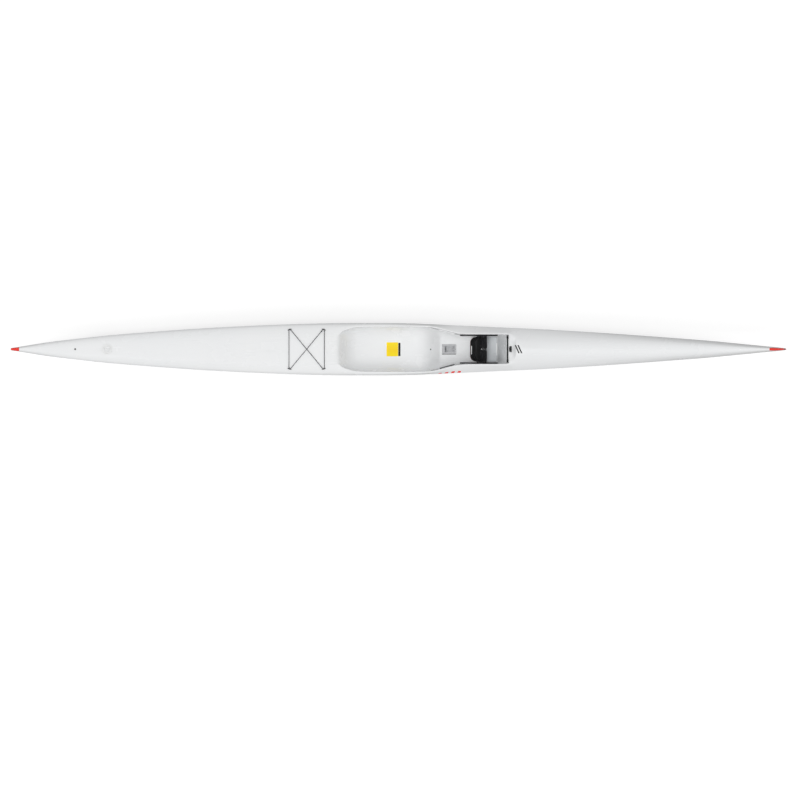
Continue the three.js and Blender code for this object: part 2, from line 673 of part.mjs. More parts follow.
const surfski = new THREE.Group();
function add(name, geometry, color, roughness = 0.35, metalness = 0) {
  const mesh = new THREE.Mesh(geometry, new THREE.MeshStandardMaterial({ color, roughness, metalness }));
  mesh.name = name;
  mesh.geometry.computeVertexNormals();
  surfski.add(mesh);
}
const SIDES = [["port", 1], ["starboard", -1]];

// Heights and fits that several pieces share
const hatchSeat = deckSurface(RUDDER_X, 0) - HATCH_RECESS;
const drainSeat = deckSurface(DRAIN_X, 0) - DRAIN_FLANGE;
const stockBore = STOCK_RADIUS + CLEARANCE;
const bushRadius = stockBore + BUSH_WALL;
const tubeBore = bushRadius + CLEARANCE;
const tubeRadius = tubeBore + TUBE_WALL;
const tubeBottom = keel(RUDDER_X) + CLEARANCE;
const tubeTop = tubeBottom + TUBE_HEIGHT;
const tillerBottom = tubeTop + BUSH_FLANGE + 2 * CLEARANCE;
const tillerTop = tillerBottom + TILLER_HEIGHT;
const armHeight = (tillerBottom + tillerTop) / 2;
const bladeRoot = keel(RUDDER_X) - BLADE_GAP;
const grown = ([low, high], by) => [low - by, high + by];
const trunkX = [BAILER_AFT + BAILER_FLANGE_WIDTH, BAILER_FORE - BAILER_FLANGE_WIDTH];
const trunkY = [-BAILER_HALF + BAILER_FLANGE_WIDTH, BAILER_HALF - BAILER_FLANGE_WIDTH];
const sleeveBore = GUIDE_RADIUS + CLEARANCE;
const railFore = COCKPIT_FRONT - RAIL_TO_FRONT;
const railAft = railFore - RAIL_LENGTH;
const railMiddle = RAIL_BOTTOM + RAIL_HEIGHT / 2;
const railOuter = wallAt(railFore, RAIL_BOTTOM) - 1.5 * CLEARANCE;
const railInner = railOuter - RAIL_THICKNESS;
const heelX = COCKPIT_FRONT - HEEL_TO_FRONT;
const pawlTooth = heelX + PAWL_PAST_HEEL;

// Puts a piece drawn flat on the footplate, heel at the origin, at the plate's tilt.
function onPlate(geometry) {
  return geometry.rotateY(-toRadians(PLATE_TILT)).translate(heelX, 0, PLATE_HEEL_Z);
}
function plateSpot(along, across, up) {
  return new THREE.Vector3(along, across, up)
    .applyAxisAngle(new THREE.Vector3(0, 1, 0), -toRadians(PLATE_TILT))
    .add(new THREE.Vector3(heelX, 0, PLATE_HEEL_Z));
}

// The rudder lines run from the stern beside the seat, out through the wall, and on to the pedals.
function sleeveSpot(x, side) {
  return new THREE.Vector3(x, side * (wallAt(x, SLEEVE_HEIGHT) - SLEEVE_OFF_WALL), SLEEVE_HEIGHT);
}
function guidePath(side) {
  const aft = new THREE.Vector3(RUDDER_X + GUIDE_FROM_RUDDER, side * TILLER_ARM, armHeight);
  const middle = GUIDE_ROUTE_SHARES.map(([placeShare, beamShare, heightShare]) => {
    const x = mix(aft.x, GUIDE_FORE, placeShare);
    return new THREE.Vector3(x, side * beamShare * halfBeam(x), mix(keel(x), sheer(x), heightShare));
  });
  const route = [aft, ...middle, sleeveSpot(GUIDE_FORE, side)];
  return new THREE.CatmullRomCurve3(route, false, "centripetal").getSpacedPoints(GUIDE_STEPS);
}
function sleevePath(side) {
  const [before, end] = guidePath(side).slice(-2);
  const start = end.clone().add(before.sub(end).setLength(SLEEVE_LAP));
  return [start, end, ...SLEEVE_PLACES.map((x) => sleeveSpot(x, side))];
}
function pedalEnd(side) {
  const mouth = sleeveSpot(SLEEVE_PLACES.at(-1), side);
  const hole = plateSpot(LINE_HOLE_ALONG, side * LINE_HOLE_ACROSS, -PLATE_THICKNESS / 2);
  const beyond = new THREE.Vector3().subVectors(hole, mouth).setLength(PLATE_THICKNESS + LINE_KNOT_RADIUS);
  return { mouth, hole, knot: hole.clone().add(beyond) };
}

function makeShells() {
  const places = stations();
  const grid = (half, inset) => places.map((x) => row(x, mirrored(half(x, inset))));
  const bailerHole = box(
    grown(trunkX, CLEARANCE), grown(trunkY, CLEARANCE), [-OVERRUN, WELL_FLOOR + OVERRUN]);
  const hull = cut(
    shell(grid(hullHalf, 0), grid(hullHalf, SHELL_WALL)),
    drum(tubeRadius + CLEARANCE, -OVERRUN, tubeTop, RUDDER_X),
    bailerHole,
  );
  const drainBore = DRAIN_RADIUS + CLEARANCE + DRAIN_WALL + CLEARANCE;
  const deck = cut(
    join(
      shell(grid(deckHalf, 0), grid(deckHalf, SHELL_WALL)),
      drum(HATCH_RADIUS + SHELL_WALL, hatchSeat - HATCH_BOSS, hatchSeat + HATCH_RECESS / 2, RUDDER_X, HATCH_SIDES),
      drum(DRAIN_FLANGE_RADIUS + SHELL_WALL, drainSeat - DRAIN_BOSS, drainSeat + DRAIN_FLANGE / 2, DRAIN_X),
    ),
    drum(HATCH_RADIUS + CLEARANCE, hatchSeat, hatchSeat + OVERRUN, RUDDER_X, HATCH_SIDES),
    drum(HATCH_NECK_RADIUS + CLEARANCE, hatchSeat - OVERRUN, hatchSeat + OVERRUN, RUDDER_X, HATCH_SIDES),
    drum(DRAIN_FLANGE_RADIUS + CLEARANCE, drainSeat, drainSeat + OVERRUN, DRAIN_X),
    drum(drainBore, drainSeat - OVERRUN, drainSeat + OVERRUN, DRAIN_X),
    bailerHole,
    ...SIDES.map(([, side]) => sweep(guidePath(side).slice(-2), 6, GUIDE_RADIUS + 2 * CLEARANCE)),
    ...SIDES.map(([, side]) => sweep(sleevePath(side), 6, SLEEVE_RADIUS + 3 * CLEARANCE)),
  );
  add("hull_shell", hull, WHITE, 0.2);
  add("deck_shell", deck, WHITE, 0.2);
}

// A closed ring around the whole hull at a station, for the tips and their plugs.
function wholeRing(x, inset = 0) {
  const hull = mirrored(hullHalf(x, inset));
  const deck = mirrored(deckHalf(x, inset));
  return row(x, [...hull, ...deck.slice(1, -1).reverse()]);
}

// Each tip closes both shells, and a plug on it fits inside them.
function makeTips() {
  const plugOf = (end, inward) => loft([-TIP_PLUG_ROOT, 0, TIP_PLUG].map((reach) =>
    wholeRing(end + inward * reach, SHELL_WALL + TIP_PLUG_PLAY)));
  const [aft, fore] = [SHELL_AFT - CLEARANCE, SHELL_FORE + CLEARANCE];
  const stern = loft(STERN_TIP_SHARES.map((share) => wholeRing(mix(-LENGTH / 2, aft, share))));
  const bow = loft(BOW_TIP_SHARES.map((share) => wholeRing(mix(fore, LENGTH / 2, share))));
  add("stern_tip", join(stern, plugOf(aft, 1)), RED, 0.3);
  add("bow_tip", join(bow, plugOf(fore, -1)), RED, 0.3);
}

// One closed foil section of the rudder blade
function foilRing(depthShare, leadShare, trailShare) {
  const z = mix(bladeRoot, BLADE_TIP, depthShare);
  const lead = RUDDER_X + BLADE_BALANCE - leadShare * BLADE_CHORD;
  const chord = (trailShare - leadShare) * BLADE_CHORD;
  const half = (share) => {
    const [root, ...series] = FOIL_SERIES;
    const bulge = series.reduce((sum, factor, i) => sum + factor * share ** (i + 1), root * Math.sqrt(share));
    return BLADE_THICKNESS_SHARE * chord * bulge + BLADE_EDGE / 2;
  };
  const side = (sign) => FOIL_SHARES.map((share) =>
    new THREE.Vector3(lead - share * chord, sign * half(share), z));
  return [...side(1), ...side(-1).reverse()];
}

function makeRudder() {
  const blade = loft(BLADE_OUTLINE_SHARES.map((shares) => foilRing(...shares)));
  const stockFoot = bladeRoot - STOCK_IN_BLADE;
  add("rudder_blade", cut(blade, drum(stockBore, stockFoot - CLEARANCE, tubeTop, RUDDER_X)), BLACK, 0.3);
  add("rudder_stock", drum(STOCK_RADIUS, stockFoot, tillerTop + BUSH_FLANGE, RUDDER_X), STEEL, 0.3, 1);

  const inside = (y) => {
    const line = hullHalf(RUDDER_X, SHELL_WALL);
    const i = line.findIndex((p) => p[0] <= y);
    const share = (y - line[i][0]) / (line[i - 1][0] - line[i][0]);
    return mix(line[i][1], line[i - 1][1], share) + TUBE_FOOT_PLAY;
  };
  const footEdge = inside(TUBE_FOOT_RADIUS);
  add("rudder_tube", turned([
    [tubeBore, tubeBottom], [tubeRadius, tubeBottom], [tubeRadius, inside(tubeRadius)],
    [TUBE_FOOT_RADIUS, footEdge], [TUBE_FOOT_RADIUS, footEdge + TUBE_FOOT_EDGE],
    [tubeRadius, footEdge + TUBE_FOOT_HEIGHT], [tubeRadius, tubeTop], [tubeBore, tubeTop],
  ], RUDDER_X, 0, TUBE_SIDES), NYLON, 0.5);
  const bush = (face, way) => turned([
    [stockBore, face + way * BUSH_FLANGE], [tubeRadius, face + way * BUSH_FLANGE], [tubeRadius, face],
    [bushRadius, face], [bushRadius, face - way * BUSH_LENGTH], [stockBore, face - way * BUSH_LENGTH],
  ], RUDDER_X, 0, TUBE_SIDES);
  add("lower_rudder_bush", bush(tubeBottom - CLEARANCE, -1), NYLON, 0.5);
  add("upper_rudder_bush", bush(tubeTop + CLEARANCE, 1), NYLON, 0.5);

  const armEnd = TILLER_ARM + TILLER_END;
  const hub = drum(TILLER_HUB_RADIUS, tillerBottom, tillerTop, RUDDER_X);
  const arm = box(
    grown([RUDDER_X, RUDDER_X], TILLER_ARM_WIDTH / 2), [-armEnd, armEnd],
    grown([armHeight, armHeight], TILLER_ARM_THICKNESS / 2));
  const hubFace = RUDDER_X - TILLER_HUB_RADIUS;
  add("tiller", cut(
    join(hub, arm),
    drum(stockBore, tillerBottom - OVERRUN, tillerTop + OVERRUN, RUDDER_X),
    rodAlong(TILLER_SCREW_RADIUS + CLEARANCE, hubFace - OVERRUN, RUDDER_X, 0, armHeight),
    ...SIDES.map(([, side]) => rodAlong(
      LINE_RADIUS + CLEARANCE, RUDDER_X - OVERRUN, RUDDER_X + OVERRUN, side * TILLER_ARM, armHeight)),
  ), GREY, 0.4, 0.8);
  const head = hubFace - CLEARANCE;
  add("tiller_screw", join(
    rodAlong(TILLER_SCREW_RADIUS, head - CLEARANCE, RUDDER_X - stockBore, 0, armHeight),
    rodAlong(TILLER_SCREW_HEAD, head - TILLER_SCREW_HEAD_LENGTH, head, 0, armHeight),
  ), STEEL, 0.3, 1);
}

function makeHatch() {
  const flange = hatchSeat + CLEARANCE;
  const pocket = HATCH_NECK_RADIUS - HATCH_WALL;
  add("hatch_ring", turned([
    [HATCH_BORE, -HATCH_NECK_DEPTH], [HATCH_BORE + HATCH_WALL, -HATCH_NECK_DEPTH],
    [HATCH_BORE + HATCH_WALL, -HATCH_NECK_STEP], [HATCH_NECK_RADIUS, -HATCH_NECK_STEP],
    [HATCH_NECK_RADIUS, 0], [HATCH_RADIUS, 0], [HATCH_RADIUS, HATCH_FLANGE - HATCH_CHAMFER],
    [HATCH_RADIUS - HATCH_CHAMFER, HATCH_FLANGE], [pocket, HATCH_FLANGE],
    [pocket, -HATCH_LEDGE_DEPTH], [HATCH_BORE, -HATCH_LEDGE_DEPTH],
  ], RUDDER_X, flange, HATCH_SIDES), NYLON, 0.35);
  const [edge, under] = [pocket - CLEARANCE, HATCH_FLANGE - COVER_THICKNESS];
  const plug = HATCH_BORE - CLEARANCE;
  const dish = HATCH_FLANGE - COVER_DISH_DEPTH;
  const cover = turned([
    [0, -COVER_DEPTH], [plug, -COVER_DEPTH], [plug, under], [edge, under],
    [edge, HATCH_FLANGE - HATCH_CHAMFER / 2], [edge - HATCH_CHAMFER / 2, HATCH_FLANGE],
    [COVER_DISH_RADIUS, HATCH_FLANGE], [COVER_DISH_RADIUS - HATCH_CHAMFER, dish], [0, dish],
  ], RUDDER_X, flange, HATCH_SIDES);
  const grip = box(
    grown([RUDDER_X, RUDDER_X], COVER_DISH_RADIUS), grown([0, 0], COVER_GRIP / 2),
    [flange + dish - HATCH_CHAMFER, flange + HATCH_FLANGE - HATCH_CHAMFER]);
  add("hatch_cover", join(cover, grip), NYLON, 0.35);
  const seal = new THREE.TorusGeometry(SEAL_RING_RADIUS, SEAL_RADIUS, 5, HATCH_SIDES)
    .translate(RUDDER_X, 0, flange + (under - HATCH_LEDGE_DEPTH) / 2);
  add("hatch_seal", seal, BLACK, 0.8);
}

function makeDrain() {
  const bore = DRAIN_RADIUS + CLEARANCE;
  const seat = drainSeat + CLEARANCE;
  add("drain_socket", turned([
    [bore, -DRAIN_DEPTH], [bore + DRAIN_WALL, -DRAIN_DEPTH], [bore + DRAIN_WALL, 0],
    [DRAIN_FLANGE_RADIUS, 0], [DRAIN_FLANGE_RADIUS, DRAIN_FLANGE], [bore, DRAIN_FLANGE],
  ], DRAIN_X, seat, TUBE_SIDES), NYLON, 0.4);
  const head = DRAIN_FLANGE + CLEARANCE;
  add("drain_plug", turned([
    [0, -DRAIN_DEPTH], [DRAIN_RADIUS - DRAIN_TAPER, -DRAIN_DEPTH], [DRAIN_RADIUS, -DRAIN_TAPER],
    [DRAIN_RADIUS, head], [DRAIN_HEAD_RADIUS, head], [DRAIN_HEAD_RADIUS, head + DRAIN_HEAD / 2],
    [DRAIN_RADIUS, head + DRAIN_HEAD], [0, head + DRAIN_HEAD],
  ], DRAIN_X, seat, TUBE_SIDES), BLACK, 0.8);
}

// A matrix that stands a piece on the aft deck at a place, its own X turned to a heading.
function deckFrame(x, y, heading) {
  const spot = (dx, dy) => new THREE.Vector3(x + dx, y + dy, deckSurface(x + dx, y + dy) + CLEARANCE);
  const ahead = new THREE.Vector3().subVectors(spot(EYE_LENGTH, 0), spot(-EYE_LENGTH, 0));
  const port = new THREE.Vector3().subVectors(spot(0, EYE_LENGTH), spot(0, -EYE_LENGTH));
  const up = new THREE.Vector3().crossVectors(ahead, port).normalize();
  const side = new THREE.Vector3().crossVectors(up, new THREE.Vector3(heading.x, heading.y, 0)).normalize();
  const frame = new THREE.Matrix4().makeBasis(new THREE.Vector3().crossVectors(side, up), side, up);
  return frame.setPosition(spot(0, 0).addScaledVector(up, CLEARANCE));
}

// The bungee is a bow tie: two legs across the deck and two that cross between them.
function bungeeCorners() {
  const corner = (x, side) => new THREE.Vector2(x, side * BUNGEE_HALF);
  const loop = [
    corner(BUNGEE_AFT, 1), corner(BUNGEE_FORE, -1), corner(BUNGEE_FORE, 1), corner(BUNGEE_AFT, -1),
  ];
  return loop.map((apex, i) => {
    const before = loop[(i + 3) % 4].clone().sub(apex).normalize();
    const after = loop[(i + 1) % 4].clone().sub(apex).normalize();
    const half = Math.acos(before.dot(after)) / 2;
    const inwards = before.clone().add(after).normalize();
    const centre = apex.clone().addScaledVector(inwards, BUNGEE_BEND / Math.sin(half));
    const bend = Array.from({ length: BUNGEE_BEND_STEPS }, (_, k) => {
      const turn = mix(-1, 1, k / (BUNGEE_BEND_STEPS - 1)) * (Math.PI / 2 - half);
      const way = Math.sign(before.cross(after));
      return centre.clone().addScaledVector(
        inwards.clone().negate().rotateAround(new THREE.Vector2(), -way * turn), BUNGEE_BEND);
    });
    const heading = after.clone().sub(before).normalize();
    return { bend, heading, spot: bend[(BUNGEE_BEND_STEPS - 1) / 2] };
  });
}

function makeBungee() {
  const corners = bungeeCorners();
  const names = ["port_aft", "starboard_fore", "port_fore", "starboard_aft"];
  const shape = new THREE.Shape()
    .moveTo(-EYE_HALF, 0).lineTo(EYE_HALF, 0).lineTo(EYE_HALF, EYE_BASE)
    .absarc(0, EYE_BASE, EYE_ARCH_RADIUS, 0, Math.PI).lineTo(-EYE_HALF, EYE_BASE);
  const hole = new THREE.Path().absarc(0, EYE_BASE, EYE_HOLE_RADIUS, 0, Math.PI);
  corners.forEach(({ spot, heading }, i) => {
    const eye = along(shape, -EYE_LENGTH / 2, EYE_LENGTH / 2, [hole]);
    add(names[i] + "_pad_eye", eye.applyMatrix4(deckFrame(spot.x, spot.y, heading)), BLACK, 0.5);
  });
  const middle = new THREE.Vector2((BUNGEE_AFT + BUNGEE_FORE) / 2, 0);
  const plan = corners.flatMap(({ bend }, i) => {
    const next = corners[(i + 1) % corners.length].bend[0];
    const leg = Array.from({ length: BUNGEE_LEG_STEPS - 1 }, (_, k) =>
      bend.at(-1).clone().lerp(next, (k + 1) / BUNGEE_LEG_STEPS));
    const slack = (k) => Math.abs((2 * (k + 1)) / BUNGEE_LEG_STEPS - 1) ** 3;
    return [...bend.map((p) => [p, 1, 0]), ...leg.map((p, k) => [p, slack(k), i])];
  });
  const onEye = EYE_BASE - 4 * CLEARANCE;
  const cord = plan.map(([p, eyeShare, leg]) => {
    const crosses = leg === 2 && p.distanceTo(middle) < BUNGEE_CROSSING_REACH;
    const over = crosses ? 2 * BUNGEE_RADIUS + CLEARANCE : 0;
    const height = BUNGEE_RADIUS + BUNGEE_LIFT + eyeShare * onEye + over;
    return new THREE.Vector3(p.x, p.y, deckSurface(p.x, p.y) + height);
  });
  const loop = sweep(cord, 6, BUNGEE_RADIUS, 0, true);
  const knotAt = cord[2 * (BUNGEE_BEND_STEPS + BUNGEE_LEG_STEPS - 1) + BUNGEE_BEND_STEPS];
  const knot = new THREE.SphereGeometry(KNOT_RADIUS, 8, 6).translate(...knotAt.toArray());
  add("deck_bungee", join(loop, knot), BLACK, 0.8);
}

function makeBailer() {
  const floor = WELL_FLOOR + CLEARANCE + BAILER_BED;
  const top = floor + BAILER_FLANGE;
  const inner = [grown(trunkX, -BAILER_WALL), grown(trunkY, -BAILER_WALL)];
  const lever = top + LEVER_RADIUS + CLEARANCE;
  const lugs = SIDES.map(([, side]) => {
    const at = side * (LEVER_HALF + LEVER_LUG_WIDTH);
    return box(grown([LEVER_X, LEVER_X], LEVER_LUG_LENGTH / 2), grown([at, at], LEVER_LUG_WIDTH / 2),
      [top - BAILER_FLANGE / 2, top + LEVER_LUG_HEIGHT]);
  });
  const shelf = box([trunkX[0], LEVER_X + LEVER_LUG_LENGTH / 2], inner[1], [floor, top]);
  const pinX = inner[0][1] - CHUTE_KNUCKLE_RADIUS - CHUTE_PLAY;
  const pin = (radius, reach) => rodAcross(radius, -reach, reach, pinX, BAILER_PIN_HEIGHT);
  add("bailer_frame", cut(
    join(
      cut(
        join(
          box([BAILER_AFT, BAILER_FORE], [-BAILER_HALF, BAILER_HALF], [floor, top]),
          box(trunkX, trunkY, [BAILER_BOTTOM, top])),
        box(...inner, [-OVERRUN, top + OVERRUN])),
      shelf, ...lugs),
    pin(BAILER_PIN_RADIUS + CLEARANCE, BAILER_HALF),
    rodAcross(LEVER_RADIUS + CLEARANCE, -BAILER_HALF, BAILER_HALF, LEVER_X, lever),
  ), STEEL, 0.35, 0.9);
  add("bailer_pin", pin(BAILER_PIN_RADIUS, trunkY[1] - CLEARANCE), STEEL, 0.3, 1);

  const side = inner[1][1] - CHUTE_PLAY;
  const aft = inner[0][0] + CHUTE_SWING_PLAY;
  const plateTop = BAILER_BOTTOM + CHUTE_PLATE;
  const cheek = [
    [pinX, plateTop - CHUTE_PLATE / 2], [aft, plateTop - CHUTE_PLATE / 2],
    [aft, BAILER_BOTTOM + CHUTE_CHEEK_HEIGHT],
    [aft + CHUTE_CHEEK_HEIGHT, BAILER_BOTTOM + CHUTE_CHEEK_HEIGHT],
    [pinX, BAILER_PIN_HEIGHT + CHUTE_CHEEK],
  ];
  add("bailer_chute", cut(
    join(
      box([aft, pinX], [-side, side], [BAILER_BOTTOM, plateTop]),
      across(cheek, side - CHUTE_CHEEK, side), across(cheek, -side, -side + CHUTE_CHEEK),
      rodAcross(CHUTE_KNUCKLE_RADIUS, -side, side, pinX, BAILER_PIN_HEIGHT)),
    pin(BAILER_PIN_RADIUS + CLEARANCE, BAILER_HALF),
  ), STEEL, 0.35, 0.9);

  const end = LEVER_X + LEVER_LENGTH;
  const half = [
    [LEVER_X, LEVER_HALF + 2 * LEVER_LUG_WIDTH], [LEVER_X, LEVER_HALF + LEVER_RADIUS],
    [LEVER_X + LEVER_BEND / 3, LEVER_HALF], [LEVER_X + LEVER_BEND, LEVER_HALF - LEVER_RADIUS],
    [end - LEVER_BEND, LEVER_HALF - LEVER_BEND],
    [end - LEVER_BEND / 3, LEVER_HALF - LEVER_BEND - LEVER_RADIUS],
    [end, LEVER_HALF - 2 * LEVER_BEND],
  ];
  const wire = [...half, ...half.map(([x, y]) => [x, -y]).reverse()]
    .map(([x, y]) => new THREE.Vector3(x, y, lever));
  add("bailer_lever", sweep(wire, 8, LEVER_RADIUS), STEEL, 0.3, 1);
}

function makeRails() {
  // The rack is counted both ways from the notch that the pawls rest in.
  const [low, high] = [railAft + RAIL_END, railFore - RAIL_END];
  const aft = Math.floor((pawlTooth - RACK_NOTCH / 2 - low) / RACK_PITCH);
  const fore = Math.floor((high - pawlTooth - RACK_NOTCH / 2) / RACK_PITCH);
  const root = RAIL_BOTTOM + RACK_DEPTH;
  const notches = Array.from({ length: aft + fore + 1 }, (_, i) => {
    const [from, to] = grown(Array(2).fill(pawlTooth + (i - aft) * RACK_PITCH), RACK_NOTCH / 2);
    return [[from, RAIL_BOTTOM], [from, root], [to, root], [to, RAIL_BOTTOM]];
  }).flat();
  const top = RAIL_BOTTOM + RAIL_HEIGHT;
  const outline = [
    [railAft, RAIL_BOTTOM], ...notches, [railFore, RAIL_BOTTOM], [railFore, top], [railAft, top],
  ];
  const slot = box(
    [low, high], [railInner - OVERRUN, railInner + RAIL_SLOT_DEPTH],
    grown([railMiddle, railMiddle], RAIL_SLOT_HEIGHT / 2));
  const rail = cut(across(outline, railInner, railOuter), slot);
  SIDES.forEach(([name, side]) => add(name + "_rail", onSide(rail, side), BLACK, 0.45));
}

const hingeSpot = plateSpot(HINGE_ALONG, 0, -PLATE_THICKNESS / 2);
const hingeRod = (radius, from, to) => rodAcross(radius, from, to, hingeSpot.x, hingeSpot.z);
const knuckles = (spans, reach) => spans.flatMap(([from, to]) => [
  onPlate(rodAcross(KNUCKLE_RADIUS, from, to, HINGE_ALONG, -PLATE_THICKNESS / 2)),
  onPlate(box(reach, [from, to], [-PLATE_THICKNESS, 0])),
]);

function makeFootplate() {
  const c = PLATE_CORNER;
  const shape = new THREE.Shape()
    .moveTo(PLATE_LENGTH, -PLATE_HALF).lineTo(PLATE_LENGTH, PLATE_HALF).lineTo(c, PLATE_HALF)
    .absarc(c, PLATE_HALF - c, c, Math.PI / 2, Math.PI)
    .absarc(0, 0, HEEL_RELIEF, Math.PI / 2, -Math.PI / 2, true)
    .absarc(c, -PLATE_HALF + c, c, Math.PI, (3 * Math.PI) / 2);
  add("footplate", cut(
    join(
      onPlate(extruded(shape, -PLATE_THICKNESS, 0)),
      ...knuckles(PLATE_KNUCKLES, [PLATE_LENGTH - KNUCKLE_LUG, HINGE_ALONG])),
    hingeRod(HINGE_ROD_RADIUS + CLEARANCE, -BEAM, BEAM),
  ), BLACK, 0.4);
  add("pedal_rod", hingeRod(HINGE_ROD_RADIUS, -PLATE_HALF, PLATE_HALF), STEEL, 0.3, 1);

  const r = PEDAL_CORNER;
  const outline = new THREE.Shape()
    .moveTo(PEDAL_START, PEDAL_INNER).lineTo(PEDAL_END - r, PEDAL_INNER)
    .absarc(PEDAL_END - r, PEDAL_INNER + r, r, -Math.PI / 2, 0)
    .absarc(PEDAL_END - r, PEDAL_OUTER - r, r, 0, Math.PI / 2)
    .lineTo(PEDAL_START + r, PEDAL_OUTER).lineTo(PEDAL_START, PEDAL_WAIST);
  const grips = Array.from({ length: GRIP_COUNT }, (_, i) => GRIP_START + i * GRIP_SPACING).map((u) =>
    onPlate(box(
      [u, u + GRIP_SIZE], [PEDAL_INNER + r, PEDAL_WAIST - GRIP_SIZE], [-GRIP_SIZE, GRIP_SIZE / 2])));
  const { hole, knot, mouth } = pedalEnd(1);
  const drill = sweep([mouth, hole, knot], 6, LINE_RADIUS + 2 * CLEARANCE);
  const pedal = cut(
    join(
      onPlate(extruded(outline, -PLATE_THICKNESS, 0)), ...grips,
      ...knuckles(PEDAL_KNUCKLES, [HINGE_ALONG, PEDAL_START + KNUCKLE_LUG])),
    hingeRod(HINGE_ROD_RADIUS + CLEARANCE, -BEAM, BEAM), drill);
  SIDES.forEach(([name, side]) => add(name + "_pedal", onSide(pedal, side), BLACK, 0.4));
}

// Each slider carries one side of the footplate on its rail, and a pawl that locks in the rack.
function makeSliders() {
  const cheekIn = PLATE_HALF + 2 * CLEARANCE;
  const pivot = [pawlTooth + PAWL_REACH, RAIL_BOTTOM - PAWL_PIVOT_DROP];
  const sliderAft = heelX + SLIDER_PAST_HEEL;
  const tongue = box(
    [sliderAft, sliderAft + SLIDER_LENGTH], [cheekIn + CLEARANCE, railInner + RAIL_SLOT_DEPTH - CLEARANCE],
    grown([railMiddle, railMiddle], RAIL_SLOT_HEIGHT / 2 - CLEARANCE));
  const lug = box(
    [SLIDER_LUG_START, SLIDER_LUG_END], [PLATE_HALF - SLIDER_LUG_WIDTH, cheekIn + SLIDER_CHEEK / 2],
    grown([-PLATE_THICKNESS - CLEARANCE - SLIDER_LUG_THICKNESS / 2, -PLATE_THICKNESS - CLEARANCE
      - SLIDER_LUG_THICKNESS / 2], SLIDER_LUG_THICKNESS / 2));
  const pawlIn = cheekIn + SLIDER_CHEEK + CLEARANCE;
  const slider = join(
    onPlate(across(CHEEK_OUTLINE, cheekIn, cheekIn + SLIDER_CHEEK)), tongue, onPlate(lug),
    rodAcross(PAWL_PIN_RADIUS, cheekIn + CLEARANCE, pawlIn + PAWL_WIDTH, ...pivot, 12));

  const tooth = pawlTooth;
  const tip = RAIL_BOTTOM + RACK_DEPTH - 4 * CLEARANCE;
  const under = RAIL_BOTTOM - PAWL_ARM / 2;
  const arm = [
    [pivot[0], pivot[1] - PAWL_ARM], [pivot[0], pivot[1] + PAWL_ARM], [tooth + PAWL_TOOTH_FORE, under],
    [tooth + PAWL_TOOTH_FORE, tip], [tooth - PAWL_TOOTH_AFT, tip], [tooth - PAWL_TOOTH_AFT, under],
    [tooth - PAWL_TAIL, under - PAWL_TAIL_DROP], [tooth - PAWL_TAIL, under - PAWL_TAIL_DROP - PAWL_ARM],
    [tooth, under - 2 * PAWL_ARM],
  ];
  const pawl = cut(
    join(
      across(arm, pawlIn, pawlIn + PAWL_WIDTH),
      rodAcross(PAWL_RADIUS, pawlIn, pawlIn + PAWL_WIDTH, ...pivot)),
    rodAcross(PAWL_PIN_RADIUS + CLEARANCE, pawlIn - OVERRUN, pawlIn + OVERRUN, ...pivot));
  SIDES.forEach(([name, side]) => {
    add(name + "_slider", onSide(slider, side), BLACK, 0.5);
    add(name + "_pawl", onSide(pawl, side), STEEL, 0.4, 0.8);
  });
}

// The strap arches over both feet, from one edge of the footplate to the other.
function makeStrap() {
  const edge = (inset, clockwise) => {
    const [half, top, round] = [STRAP_HALF - inset, STRAP_HEIGHT - inset, STRAP_ROUND - inset];
    const curve = new THREE.Path().moveTo(half, CLEARANCE).lineTo(half, top - round)
      .absarc(half - round, top - round, round, 0, Math.PI / 2)
      .absarc(-half + round, top - round, round, Math.PI / 2, Math.PI)
      .lineTo(-half, CLEARANCE);
    const points = curve.getPoints(5);
    return clockwise ? points.reverse() : points;
  };
  const shape = new THREE.Shape([...edge(0, false), ...edge(STRAP_THICKNESS, true)]);
  add("foot_strap", onPlate(along(shape, STRAP_START, STRAP_START + STRAP_WIDTH)), BLACK, 0.9);
}

function makeLines() {
  SIDES.forEach(([name, side]) => {
    const guide = guidePath(side);
    const { mouth, hole, knot } = pedalEnd(side);
    const behind = RUDDER_X - TILLER_ARM_WIDTH / 2 - LINE_KNOT_RADIUS;
    const start = new THREE.Vector3(behind, side * TILLER_ARM, armHeight);
    const sleeve = SLEEVE_PLACES.slice(0, -1).map((x) => sleeveSpot(x, side));
    const knots = [start, knot].map((p) =>
      new THREE.SphereGeometry(LINE_KNOT_RADIUS - CLEARANCE, 6, 4).translate(...p.toArray()));
    add(name + "_rudder_line", join(
      sweep([start, ...guide, ...sleeve, mouth, hole, knot], 6, LINE_RADIUS), ...knots), BLACK, 0.8);
    add(name + "_guide_tube", sweep(guide, 6, GUIDE_RADIUS, GUIDE_BORE), NYLON, 0.5);
    add(name + "_line_sleeve", sweep(sleevePath(side), 8, SLEEVE_RADIUS, sleeveBore), BLACK, 0.5);
  });
}

function makeBar() {
  const deck = deckSurface(BAR_X, 0) + CLEARANCE;
  const height = deck + BAR_RISE;
  SIDES.forEach(([name, side]) => {
    const end = BAR_HALF + CLEARANCE;
    const foot = box(
      grown([BAR_X, BAR_X], BAR_FOOT_LENGTH / 2), [end - BAR_FOOT_WIDTH, end + CLEARANCE + BAR_RADIUS],
      [deck, deck + BAR_FOOT_HEIGHT]);
    const bored = cut(foot, rodAcross(BAR_RADIUS + CLEARANCE, 0, end, BAR_X, height));
    add(name + "_bar_foot", onSide(bored, side), BLACK, 0.5);
  });
  add("front_bar", rodAcross(BAR_RADIUS, -BAR_HALF, BAR_HALF, BAR_X, height), BLACK, 0.4);
}

